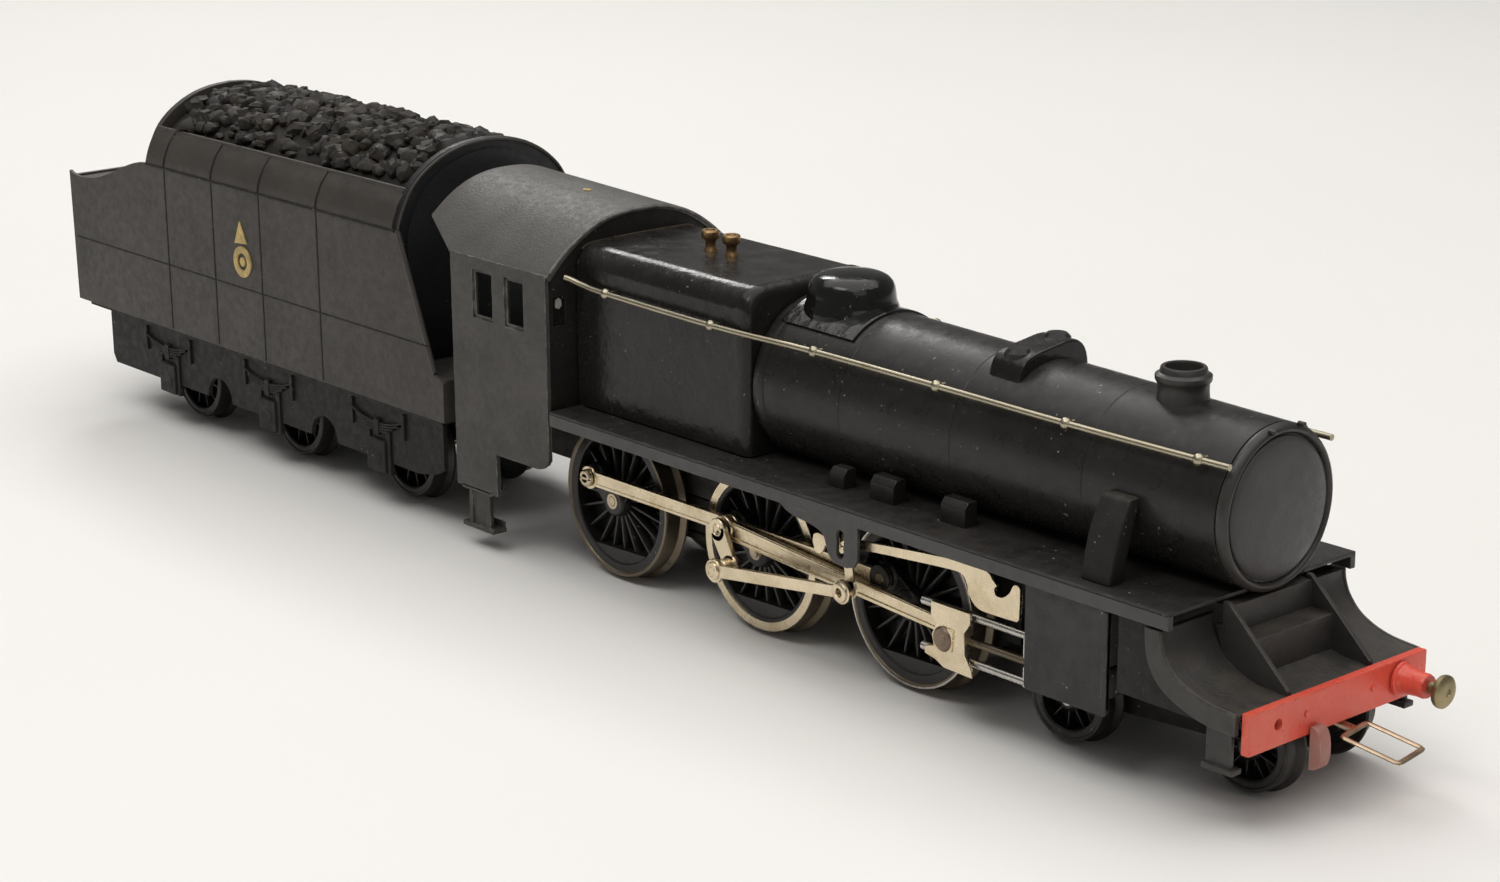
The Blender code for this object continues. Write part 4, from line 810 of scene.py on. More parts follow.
beam = block(93.9, 95.2, -17.3, 17.3, 10.5, 15.9, 0.16)
beam = cut(beam, drum("X", (0.0, -11.9, 13.4), 0.75, 90, 99, 24, 0.0))
plugs = [drum("X", (0.0, y, 13.4), 0.45, 95.1, 95.42, 14, 0.08) for y in (-6.5, 6.5)]
piece("beam_red", gather(beam, *plugs), RED, "loco", ["buffer_beam"])
stock_profile = [(95.5, 0.0), (95.5, 2.25), (95.85, 2.25), (96.0, 2.05), (96.4, 1.95),
                 (96.7, 1.75), (98.4, 1.6), (99.2, 1.65), (99.6, 1.5), (99.6, 0.0)]
piece("buffer_stock", turned(stock_profile, "X", (0.0, 11.9, 13.4), 32), RED, "loco",
      ["buffer_stock_left"])
head_profile = [(99.9, 0.0), (99.9, 0.85), (101.0, 0.9), (101.25, 1.3), (101.4, 2.05),
                (101.7, 2.18), (102.1, 2.15), (102.35, 1.85), (102.52, 1.2), (102.58, 0.5),
                (102.4, 0.4), (102.4, 0.0)]
piece("buffer_head", turned(head_profile, "X", (0.0, 11.9, 13.4), 36), BUFFER_BRASS, "loco",
      ["buffer_head_left"])
hook_line = smooth_line([(95.5, 11.7), (96.4, 11.6), (97.05, 10.7), (97.3, 9.3), (97.25, 7.6),
                         (96.7, 6.4), (95.5, 6.0)], 4)
hook = gather(slab(hook_line, "Y", -6.2, -4.1, 0.55),
              drum("X", (0.0, -5.15, 8.8), 0.55, 97.0, 97.45, 16, 0.1))
piece("beam_hook", hook, HOOK_RED, "loco", ["draw_hook"])

LOOP_PIVOT = (87.0, 0.0, 11.4)


def wire_loop():
    """Coupling loop with its tongue and eye, drooped and turned to the side."""
    corners = [(96.75, -3.15), (96.75, 3.15), (104.7, 3.15), (104.7, -3.15)]
    path = []
    for i, (x, y) in enumerate(corners):
        px, py = corners[i - 1]
        nx, ny = corners[(i + 1) % 4]
        for t in (0.0, 0.5, 1.0):
            ax, ay = x + (px - x) * 0.06, y + (py - y) * 0.1
            bx, by = x + (nx - x) * 0.06, y + (ny - y) * 0.1
            path.append(((1 - t) ** 2 * ax + 2 * t * (1 - t) * x + t * t * bx,
                         (1 - t) ** 2 * ay + 2 * t * (1 - t) * y + t * t * by, 11.4))
    loop = tube(path, 0.42, 10, closed=True, flat=0.58)
    tongue = block(85.6, 96.9, -0.8, 0.8, 11.17, 11.63, 0.1)
    eye = turned([(11.15, 0.8), (11.15, 1.55), (11.65, 1.55), (11.65, 0.8)], "Z",
                 (87.0, 0.0, 0.0), 24, closed=True)
    whole = gather(loop, tongue, eye)
    turn(whole, LOOP_PIVOT, "Y", 11.0)
    return turn(whole, LOOP_PIVOT, "Z", 9.0)


piece("loop_of_wire", wire_loop(), LOOP_METAL, "coupling_loop", ["coupling_loop"])


def screw(name, x, levels, radii, node, body="loco"):
    """Slotted pan-head screw standing on its head along Z."""
    z0, z1, z2 = levels
    head, shank = radii
    profile = [(z0, 0.0), (z0, head - 0.3), (z0 + 0.25, head), (z1 - 0.1, head), (z1, head - 0.1),
               (z1, shank), (z2 - 0.2, shank), (z2, shank - 0.15), (z2, 0.0)]
    shape = turned(profile, "Z", (x, 0.0, 0.0), 24)
    slot = block(x - head * 1.2, x + head * 1.2, -0.18, 0.18, z0 - 0.5, z0 + 0.28, 0.0)
    piece(name, cut(shape, slot), STEEL, body, [node])


screw("coupling_screw", 87.0, (9.6, 10.3, 14.2), (1.5, 0.45), "coupling_pin")
screw("body_fixing_screw", BODY_SCREW_X, (14.2, 15.7, 24.8), (1.9, 0.7), "body_screw")
screw("bogie_fixing_screw", BOGIE_X, (6.0, 7.5, 20.0), (2.2, 0.8), "bogie_screw")
screw("drawbar_fixing_pin", -59.0, (12.6, 13.3, 20.0), (1.4, 0.55), "drawbar_pin")
screw("tender_fixing_pin", -71.5, (12.6, 13.8, 16.2), (1.4, 0.55), "tender_pin", "tender")
screw("tail_hook_pin", -178.0, (10.6, 11.3, 16.2), (1.3, 0.45), "tender_hook_pin", "tender")

# ------------------------------------------------------- cylinders and frames
def cylinder_side():
    """Right cylinder: front plate, chest, barrel and glands."""
    plate_line = ([(58.2, 23.2)] + round_corner((58.8, 9.6), 0.6, 180, 270, 4)
                  + round_corner((71.8, 9.6), 0.6, 270, 360, 4) + [(72.4, 23.2)])
    plate = slab(plate_line, "Y", -17.5, -16.8, 0.12)
    lip = block(71.6, 72.4, -17.6, -16.9, 9.9, 23.0, 0.1)
    chest = block(58.3, 72.3, -17.2, -12.0, 15.6, 23.1, 0.2)
    barrel = turned([(59.4, 0.0), (59.4, 2.0), (59.7, 2.2), (71.4, 2.2), (71.7, 2.0), (72.0, 1.4),
                     (72.0, 0.0)], "X", (0.0, -14.95, 13.0), 28)
    gland = turned([(58.2, 0.75), (58.2, 1.4), (59.4, 1.6), (59.4, 0.75)], "X",
                   (0.0, -15.9, 12.0), 20, closed=True)
    cover = block(58.25, 59.3, -17.2, -14.7, 13.4, 16.2, 0.12)
    return gather(plate, lip, chest, barrel, gland, cover)


piece("cylinders", gather(both(cylinder_side()), block(60.0, 72.0, -12.5, 12.5, 16.0, 21.6, 0.2)),
      PLATE_PAINT, "loco", ["cylinder_block"])

for node, paint in (("chassis_block", FRAME_PAINT), ("keeper_plate", FRAME_PAINT),
                    ("bogie_frame", FRAME_PAINT), ("motor", MOTOR_METAL),
                    ("worm_shaft", STEEL), ("drawbar", STEEL), ("tender_hook", STEEL)):
    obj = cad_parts[node]
    obj.data.materials.clear()
    obj.data.materials.append(paint)


# --------------------------------------------------------------------- wheels
def spoke(angle, r0, r1, y_mid, wide, deep):
    """Tapered spoke with a rounded section, standing out from a hub."""
    rings = []
    for t in (0.0, 0.35, 0.7, 1.0):
        r = r0 + (r1 - r0) * t
        w = wide * (1.0 - 0.42 * t)
        d = deep * (1.0 - 0.25 * t)
        ring = []
        for k in range(8):
            a = math.tau * (k + 0.5) / 8
            side, depth = w * math.cos(a), d * math.sin(a)
            x = r * math.cos(angle) - side * math.sin(angle)
            z = r * math.sin(angle) + side * math.cos(angle)
            ring.append((x, y_mid + depth, z))
        rings.append(ring)
    return loft(rings)


def wheel_centre(radius, count, hub, face, rim_out, rim_in, phase=0.0):
    """One wheel's black casting about the origin, on the +Y side."""
    rim = turned([(BACK_Y + 0.4, rim_in), (BACK_Y + 0.4, rim_out), (FACE_Y - 0.15, rim_out),
                  (FACE_Y - 0.1, rim_in + 0.25), (FACE_Y - 0.3, rim_in)], "Y", (0, 0, 0), 72,
                 closed=True)
    boss = turned([(BACK_Y, 0.0), (BACK_Y, hub), (FACE_Y - 0.5, hub + 0.1),
                   (face - 0.25, hub - 0.2), (face, hub - 0.5), (face, 0.0)], "Y", (0, 0, 0), 36)
    disc = turned([(8.15, 0.0), (8.15, rim_in + 0.2), (8.5, rim_in + 0.2), (8.5, 0.0)], "Y",
                  (0, 0, 0), 48)
    spokes = [spoke(phase + math.tau * k / count, hub - 0.2, rim_in + 0.1, 9.7, radius * 0.043,
                    1.05) for k in range(count)]
    return gather(rim, boss, disc, *spokes)


def tyre(radius, inner):
    """One wheel's tread and flange about the origin, on the +Y side."""
    profile = [(BACK_Y, inner), (BACK_Y, radius + 0.5), (BACK_Y + 0.25, radius + 0.78),
               (BACK_Y + 0.6, radius + 0.74), (BACK_Y + 0.95, radius + 0.25),
               (BACK_Y + 1.25, radius), (FACE_Y - 0.3, radius - 0.04), (FACE_Y, radius - 0.25),
               (FACE_Y, inner + 0.15), (FACE_Y - 0.15, inner)]
    return turned(profile, "Y", (0, 0, 0), 96, closed=True)


def face_ring(outer, inner):
    """Thin polished ring on the face of one tyre, on the +Y side."""
    return turned([(FACE_Y - 0.1, inner), (FACE_Y - 0.1, outer), (FACE_Y + 0.02, outer),
                   (FACE_Y + 0.05, outer - 0.05), (FACE_Y + 0.05, inner + 0.05),
                   (FACE_Y + 0.02, inner)], "Y", (0, 0, 0), 96, closed=True)


def weight(rim_in, direction, half_angle):
    """Crescent balance weight between spokes, on the +Y side."""
    arc = round_corner((0.0, 0.0), rim_in + 0.3, direction - half_angle, direction + half_angle, 14)
    a, b = arc[0], arc[-1]
    chord = [(b[0] + (a[0] - b[0]) * t, b[1] + (a[1] - b[1]) * t) for t in (0.1, 0.35, 0.65, 0.9)]
    return slab(arc + chord, "Y", 8.6, FACE_Y - 0.35, 0.15)


def moved(bm, x, z):
    """Shift a shape along X and Z."""
    bm.transform(Matrix.Translation((x, 0.0, z)))
    return bm


PIN_END = {"front": 13.65, "middle": 15.0, "rear": 14.4}
RINGS = {"rear": (11.88, 11.5, DARK_RIM), "middle": (11.9, 10.6, NICKEL),
         "front": (11.92, 11.66, STEEL)}
for name, x in DRIVER_X.items():
    wide = name == "middle"
    tyre_in = DRIVER_R - (1.45 if wide else 0.75)
    ring_out, ring_in, ring_metal = RINGS[name]
    castings, rims, ends, polished = [], [], [], []
    for side in SIDES:
        crank = on_circle((0.0, 0.0), CRANK_R, CRANK_DEG[side])
        casting = wheel_centre(DRIVER_R, 19, 2.5, 12.2, tyre_in + 0.02, DRIVER_R - 2.1,
                               math.radians(CRANK_DEG[side]))
        lug = drum("Y", at(crank), 2.05, 9.0, 12.4, 28, 0.3)
        neck = slab([on_circle(spot, radius, CRANK_DEG[side] + lean)
                     for spot, radius, lean in (((0, 0), 2.2, 75), ((0, 0), 2.2, -75),
                                                (crank, 1.8, -85), (crank, 1.8, 85))],
                    "Y", 9.0, 12.0, 0.2)
        whole = gather(casting, lug, neck, weight(DRIVER_R - 2.1, CRANK_DEG[side] + 130.5, 40.0))
        ring = tyre(DRIVER_R, tyre_in)
        end = gather(turned([(12.15, 0.75), (12.15, 1.25), (12.3, 1.2), (12.3, 0.8)], "Y",
                            (0, 0, 0), 24, closed=True),
                     turned([(12.1, 0.0), (12.1, 0.75), (12.35, 0.7), (12.42, 0.0)], "Y", (0, 0, 0),
                            24))
        pin = drum("Y", at(crank), 0.8, 12.2, PIN_END[name], 20, 0.1)
        if name == "rear":
            head = turned([(13.75, 0.0), (13.75, 1.35), (14.2, 1.35), (14.4, 1.1), (14.4, 0.0)],
                          "Y", at(crank), 24)
            pin = gather(pin, cut(head, block(crank[0] - 2, crank[0] + 2, 14.15, 15.0,
                                              crank[1] - 0.17, crank[1] + 0.17, 0.0)))
        bright = face_ring(ring_out, ring_in)
        for shape, out in ((whole, castings), (ring, rims), (end, ends), (pin, ends),
                           (bright, polished)):
            out.append(moved(shape if side > 0 else gather(mirror(shape)), x, DRIVER_R))
    ends.append(drum("Y", (x, 0, DRIVER_R), 1.4, -BACK_Y - 0.1, BACK_Y + 0.1, 24, 0.0))
    body = f"axle_{name}"
    piece(f"driver_{name}_centres", gather(*castings), WHEEL_BLACK, body, [f"driver_{name}"])
    piece(f"driver_{name}_tyres", gather(*rims), DARK_RIM, body, ())
    piece(f"driver_{name}_faces", gather(*polished), ring_metal, body, ())
    end_metal = DARK_RIM if name == "front" else RIM_METAL
    piece(f"driver_{name}_axle", gather(*ends), end_metal, body, ())


def small_wheels(name, body, node, x, y, z, radius, count, face, yaw):
    """A pair of small spoked wheels on one axle."""
    pair = both(wheel_centre(radius, count, 1.55, face, radius - 0.68, radius - 1.6, 0.2))
    rims = both(tyre(radius, radius - 0.7))
    end = both(turned([(face - 0.1, 0.0), (face - 0.1, 0.8), (face + 0.12, 0.7),
                       (face + 0.12, 0.0)], "Y", (0, 0, 0), 20))
    rod = gather(drum("Y", (0, 0, 0), 0.8, -BACK_Y - 0.1, BACK_Y + 0.1, 20, 0.0), end)
    place = Matrix.Translation((x, y, z)) @ Matrix.Rotation(math.radians(yaw), 4, "Z")
    for suffix, bm, metal, nodes in (("centres", pair, WHEEL_BLACK, [node]),
                                     ("tyres", rims, TYRE_BLACK, ()), ("axle", rod, STEEL, ())):
        bm.transform(place)
        piece(f"{name}_{suffix}", bm, metal, body, nodes)


yaw = math.radians(BOGIE_YAW_DEG)
for name, spot in BOGIE_AXLES.items():
    small_wheels(f"bogie_{name}", f"bogie_axle_{name}", f"bogie_wheels_{name}",
                 BOGIE_X + spot * math.cos(yaw), spot * math.sin(yaw), BOGIE_R, BOGIE_R, 10,
                 FACE_Y + 0.08, BOGIE_YAW_DEG)
for number, x in enumerate(TENDER_AXLES, 1):
    small_wheels(f"tender_{number}", f"tender_axle_{number}", f"tender_wheels_{number}",
                 x, 0.0, TENDER_R, TENDER_R, 12, FACE_Y + 0.18, 0.0)

gear_line = []
for k in range(30):
    for radius, part in ((5.75, -0.32), (6.4, -0.14), (6.4, 0.14), (5.75, 0.32)):
        gear_line.append(on_circle((0.0, DRIVER_R), radius, (k + part) * 12.0))
gear = cut(slab(gear_line, "Y", -1.6, 1.6, 0.0),
           drum("Y", (0, 0, DRIVER_R), 1.45, -3, 3, 24, 0.0))
piece("drive_gear_teeth", gear, GEAR_BRASS, "axle_middle", ["drive_gear"])


# --------------------------------------------------------------- motion, rods
def bar(start, end, h0, h1, low, high, bevel=0.12, trim=0.0):
    """Straight tapered bar between two centres in the X Z plane."""
    ax, az = start
    bx, bz = end
    length = math.hypot(bx - ax, bz - az)
    ux, uz = (bx - ax) / length, (bz - az) / length
    ax, az, bx, bz = ax + ux * trim, az + uz * trim, bx - ux * trim, bz - uz * trim
    a, b = h0 / 2, h1 / 2
    points = [(ax - uz * a, az + ux * a), (ax + uz * a, az - ux * a),
              (bx + uz * b, bz - ux * b), (bx - uz * b, bz + ux * b)]
    return slab(points, "Y", low, high, bevel)


def shift(start, end, offset):
    """The same pair of centres moved square to the line between them."""
    ax, az = start
    bx, bz = end
    length = math.hypot(bx - ax, bz - az)
    nx, nz = -(bz - az) / length * offset, (bx - ax) / length * offset
    return (ax + nx, az + nz), (bx + nx, bz + nz)


def eye(centre, outer, inner, low, high, segments=32):
    """Ring with softened rims around a pin."""
    low, high = min(low, high), max(low, high)
    c = 0.12
    return turned([(low, inner), (low, outer - c), (low + c, outer), (high - c, outer),
                   (high, outer - c), (high, inner + 0.05), (high - 0.06, inner)], "Y",
                  at(centre), segments, closed=True)


def pin_head(centre, radius, low, high, slotted=True):
    """Turned pin end on the +Y side, with rings and perhaps a screw slot."""
    head = turned([(low, 0.0), (low, radius), (high - 0.15, radius), (high, radius - 0.15),
                   (high, radius * 0.62), (high - 0.07, radius * 0.56), (high - 0.07, radius * 0.5),
                   (high, radius * 0.44), (high, 0.0)], "Y", at(centre), 32)
    if slotted:
        slot = block(centre[0] - radius * 0.9, centre[0] + radius * 0.9, high - 0.22, high + 1.0,
                     centre[1] - 0.14, centre[1] + 0.14, 0.0)
        slot = turn(slot, at(centre), "Y", 35.0)
        head = cut(head, slot)
    return head


def hand(side, bm):
    """Keep a shape drawn on the +Y side, or mirror it to the right."""
    return bm if side > 0 else gather(mirror(bm))


for side, tag in SIDES.items():
    pins = {name: on_circle((x, DRIVER_R), CRANK_R, CRANK_DEG[side])
            for name, x in DRIVER_X.items()}
    crank = pins["middle"]

    parts = []
    for a, b in (("rear", "middle"), ("middle", "front")):
        parts.append(bar(pins[a], pins[b], 2.3, 2.3, 12.7, 13.5, 0.12, 0.9))
        for offset in (-0.88, 0.88):
            s, e = shift(pins[a], pins[b], offset)
            parts.append(bar(s, e, 0.5, 0.5, 13.3, 13.6, 0.08, 1.6))
    for spot in pins.values():
        parts.append(eye(spot, 1.85, 0.85, 12.7, 13.6))
    piece(f"side_rod_{tag}", hand(side, gather(*parts)), NICKEL, f"coupling_rod_{tag}",
          [f"coupling_rod_{tag}"])
    # A dark ring laid over the rod's front eye.
    piece(f"side_rod_front_eye_dark_{tag}", hand(side, eye(pins["front"], 1.9, 0.84, 13.1, 13.64)),
          TYRE_BLACK, f"coupling_rod_{tag}")

    reach = math.sqrt(CON_ROD_LEN ** 2 - (crank[1] - DRIVER_R) ** 2)
    gudgeon = (crank[0] + reach, DRIVER_R)
    parts = [bar(crank, gudgeon, 2.9, 2.2, 13.9, 14.7, 0.12, 1.0)]
    for offset in (-1.0, 1.0):
        s, e = shift(crank, gudgeon, offset)
        e = (gudgeon[0], gudgeon[1] + offset * 0.72)
        parts.append(bar(s, e, 0.55, 0.5, 14.5, 14.9, 0.1, 1.5))
    parts += [eye(crank, 1.9, 0.85, 13.9, 14.9), eye(gudgeon, 1.4, 0.6, 13.9, 14.9)]
    piece(f"main_rod_{tag}", hand(side, gather(*parts)), NICKEL, f"connecting_rod_{tag}",
          [f"connecting_rod_{tag}"])

    lower = on_circle((0.0, DRIVER_R), RETURN_R, CRANK_DEG[side] + RETURN_LAG_DEG)
    parts = [bar(crank, lower, 3.2, 2.6, 15.3, 16.1, 0.12),
             drum("Y", at(crank), 1.72, 15.3, 16.1, 32),
             eye(crank, 0.95, 0.7, 15.9, 16.22), pin_head(crank, 0.72, 15.8, 16.12),
             drum("Y", at(lower), 1.7, 15.3, 16.1, 32),
             turned([(16.0, 0.0), (16.0, 1.3), (17.6, 1.3), (17.75, 1.15), (17.9, 1.3), (18.2, 1.3),
                     (18.3, 1.05), (18.4, 0.0)], "Y", at(lower), 28),
             drum("Y", at(lower), 0.8, 18.2, 19.3, 20),
             pin_head(lower, 1.35, 19.22, 19.5, False)]
    piece(f"return_arm_{tag}", hand(side, gather(*parts)), NICKEL, "axle_middle",
          [f"return_crank_{tag}"])

    foot = meet(lower, ECC_ROD_LEN, LINK_TOP, LINK_LEN)
    parts = [bar(lower, foot, 1.9, 1.7, 18.5, 19.15, 0.12, 0.9), eye(lower, 1.75, 0.85, 18.5, 19.2),
             turned([(18.4, 0.75), (18.4, 1.65), (19.0, 1.7), (19.1, 1.45), (19.4, 1.35),
                     (19.5, 1.15), (19.5, 0.7), (19.35, 0.6), (18.6, 0.6)], "Y",
                    at(foot), 32, closed=True)]
    piece(f"valve_link_rod_{tag}", hand(side, gather(*parts)), NICKEL, f"eccentric_rod_{tag}",
          [f"eccentric_rod_{tag}"])

    parts = [bar(LINK_TOP, foot, 1.7, 1.7, 16.95, 17.25, 0.06),
             eye(LINK_TOP, 1.3, 0.55, 16.95, 17.25), drum("Y", at(foot), 1.3, 16.95, 17.25)]
    piece(f"link_strap_{tag}", hand(side, gather(*parts)), NICKEL, f"link_{tag}", [f"link_{tag}"])

    outline = smooth_line([(18.6, 18.45), (27.6, 19.9), (36.0, 20.7), (44.2, 21.35), (46.2, 21.1),
                           (47.0, 19.9), (47.3, 18.7), (49.0, 17.25), (52.0, 17.1), (56.0, 17.2)],
                          4)
    outline += smooth_line([(56.4, 17.6), (56.5, 21.2), (56.2, 22.1), (55.3, 22.0), (54.6, 20.8),
                            (53.4, 19.9), (52.2, 19.9), (51.9, 20.7), (52.3, 21.2), (51.5, 21.9),
                            (50.8, 22.6), (48.6, 23.0), (42.4, 22.7), (27.6, 21.2), (18.6, 20.0)],
                           4)
    parts = [slab(outline, "Y", 16.1, 16.65, 0.08),
             slab(smooth_line([(17.0, 18.9), (17.5, 17.5), (18.5, 17.3), (19.4, 18.3), (19.2, 19.9),
                               (18.0, 20.2), (17.2, 19.8)], 3), "Y", 16.12, 16.63, 0.08),
             drum("Y", at(LINK_TOP), 0.4, 16.5, 17.9, 16)]
    piece(f"valve_plate_{tag}", hand(side, gather(*parts)), NICKEL, "loco", [f"valve_rod_{tag}"])

    parts = [drum("X", (0.0, 16.0, z), 0.58, 38.2, 57.9, 20, 0.12) for z in (15.6, 9.2)]
    parts.append(block(57.1, 57.85, 14.6, 16.5, 8.6, 15.4, 0.1))
    ends = cut(gather(parts.pop()), drum("X", (0, 15.9, 12.0), 0.9, 50, 60, 20, 0.0))
    piece(f"guide_bars_{tag}", hand(side, gather(ends, *parts)), STEEL, "loco",
          [f"slide_bars_{tag}"])

    gx = gudgeon[0]
    outline = [(gx - 1.9, 16.35), (gx - 1.9, 14.6), (gx - 0.9, 13.6), (gx - 1.7, 11.9),
               (gx - 1.3, 10.4), (gx - 2.9, 10.0), (gx - 3.0, 8.9), (gx - 1.0, 8.5),
               (gx + 0.6, 7.75), (gx + 5.9, 7.6), (gx + 5.7, 8.7), (gx + 4.5, 10.5),
               (gx + 4.3, 13.5), (gx + 5.4, 15.0), (gx + 5.4, 16.5)]
    parts = [slab(outline, "Y", 16.95, 17.45, 0.14),
             block(gx - 1.5, gx + 4.2, 15.45, 17.1, 10.1, 14.1, 0.2),
             block(gx - 1.8, gx + 5.2, 16.75, 17.5, 16.0, 16.55, 0.12),
             slab([(gx + 1.3, 10.1), (gx + 2.3, 10.4), (gx + 2.5, 13.4), (gx + 1.4, 13.6)], "Y",
                  17.2, 17.7, 0.12)]
    piece(f"crosshead_block_{tag}", hand(side, gather(*parts)), NICKEL, f"crosshead_{tag}",
          [f"crosshead_{tag}"])
    boss = gather(drum("Y", (gx + 0.6, 0, 11.8), 1.75, 17.2, 17.95, 32, 0.3),
                  drum("Y", (gx + 0.6, 0, 11.8), 0.8, 17.8, 18.02, 24, 0.1))
    piece(f"crosshead_boss_{tag}", hand(side, boss), BOSS_BRONZE, f"crosshead_{tag}")
    rod = drum("X", (0, 15.9, 12.0), 0.53, gx + 3.0, gx + 16.9, 20, 0.1)
    piece(f"piston_rod_{tag}", hand(side, rod), DARK_RIM, f"crosshead_{tag}", ())


# --------------------------------------------------------------------- tender
UPPER = smooth_line([(18.2, 47.3), (18.0, 48.6), (17.5, 49.9), (16.7, 51.5), (15.3, 53.2)], 4)


def arch_line(low, inset=0.0, count=18):
    """Outline of the tender's curved top from right to left."""
    half = smooth_line([(18.2, 47.3), (17.6, 49.4), (16.6, 51.6), (15.0, 54.2), (12.3, 56.6),
                        (8.6, 58.6), (4.4, 59.75), (0.0, 60.1)], 3)
    half = [(18.2 - inset, low)] + [(max(y - inset, 0.0), z - inset * 0.8) for y, z in half]
    return half + [(-y, z) for y, z in reversed(half[:-1])]


def tender_side():
    """Right side sheet with swept rear top, curled upper edge and seam beads."""
    top = smooth_line([(-156.5, 47.3), (-160.0, 46.8), (-165.0, 45.2), (-170.0, 43.3),
                       (-175.0, 41.9), (-180.0, 41.4), (-183.0, 41.7), (-184.1, 42.1)], 4)
    outline = ([(-67.6, 18.0), (-67.6, 24.6), (-70.0, 25.4), (-79.2, 47.3)] + top
               + [(-183.5, 18.0)])
    wall = slab(outline, "Y", -18.2, -17.5, 0.1)
    curl_out = [(-y, z) for y, z in UPPER]
    curl_in = [(-y + 0.55, z - 0.2) for y, z in reversed(UPPER)]
    curl = slab(curl_out + curl_in, "X", -156.0, -80.2, 0.08)
    lip_y, lip_z = 0.25 - UPPER[-1][0], UPPER[-1][1] + 0.02
    lip = tube([(-156.0, lip_y, lip_z), (-80.2, lip_y, lip_z)], 0.42, 10)
    front = [(-79.1, -17.85, 47.2), (-76.4, -17.85, 40.8), (-73.4, -17.85, 33.5),
             (-70.2, -17.85, 25.8)]
    return gather(wall, curl, lip, tube(front, 0.42, 10))


def tender_seams():
    """Dark joints between the right side's panels and along its curled top."""
    parts = [tube([(-156.0, -18.15, 47.2), (-120.0, -18.15, 47.2), (-79.4, -18.15, 47.2)], 0.3, 8),
             block(-182.4, -71.5, -18.28, -18.0, 29.75, 30.05, 0.06)]
    for x in PANEL_X:
        parts.append(block(x - 0.2, x + 0.2, -18.28, -18.0, 18.3, 47.0, 0.06))
        parts.append(tube([(x, -y - 0.02, z) for y, z in UPPER], 0.2, 8))
    return gather(*parts)


piece("tender_joints", both(tender_seams()), FRAME_PAINT, "tender", ())
# The front wall and its inner plate carry the near-black painted shade.
front_wall = slab(arch_line(25.0, 0.2), "X", -80.9, -79.5, 0.25)
rear_wall = slab(arch_line(40.5, 0.3), "X", -157.0, -155.6, 0.25)
front_inner = slab(arch_line(26.5, 2.2), "X", -79.6, -79.2, 0.1)
piece("tender_front_wall", gather(front_wall, front_inner), TENDER_PAINTED_SHADE, "tender")
rim = [(-79.35, y, z - 0.15) for y, z in arch_line(40.0, 0.45)]
piece("tender_front_rim", tube(rim, 0.28, 10), TENDER_PAINT, "tender")
tender_parts = [both(tender_side()), rear_wall,
                block(-80.2, -67.6, -17.5, 17.5, 24.0, 24.9, 0.12),
                block(-68.4, -67.6, -17.6, 17.6, 18.0, 24.2, 0.12),
                block(-183.4, -80.2, -17.6, 17.6, 40.0, 41.0, 0.12),
                block(-183.5, -182.6, -17.7, 17.7, 18.0, 41.4, 0.14),
                block(-183.6, -182.9, -17.4, 17.4, 29.75, 30.1, 0.08)]
piece("tender_shell", gather(*tender_parts), TENDER_PAINT, "tender", ["tender_body"])

crest = [turned([(-18.45, 1.5), (-18.45, 2.7), (-18.15, 2.7), (-18.15, 1.5)], "Y",
                (-125.2, 0.0, 34.6), 48, closed=True),
         slab([(-127.4, 37.6), (-125.6, 41.6), (-123.6, 37.9)], "Y", -18.42, -18.1, 0.05),
         drum("Y", (-125.2, 0.0, 34.6), 0.8, -18.42, -18.1, 20, 0.05)]
piece("plain_emblems", both(gather(*crest)), GOLD, "tender")


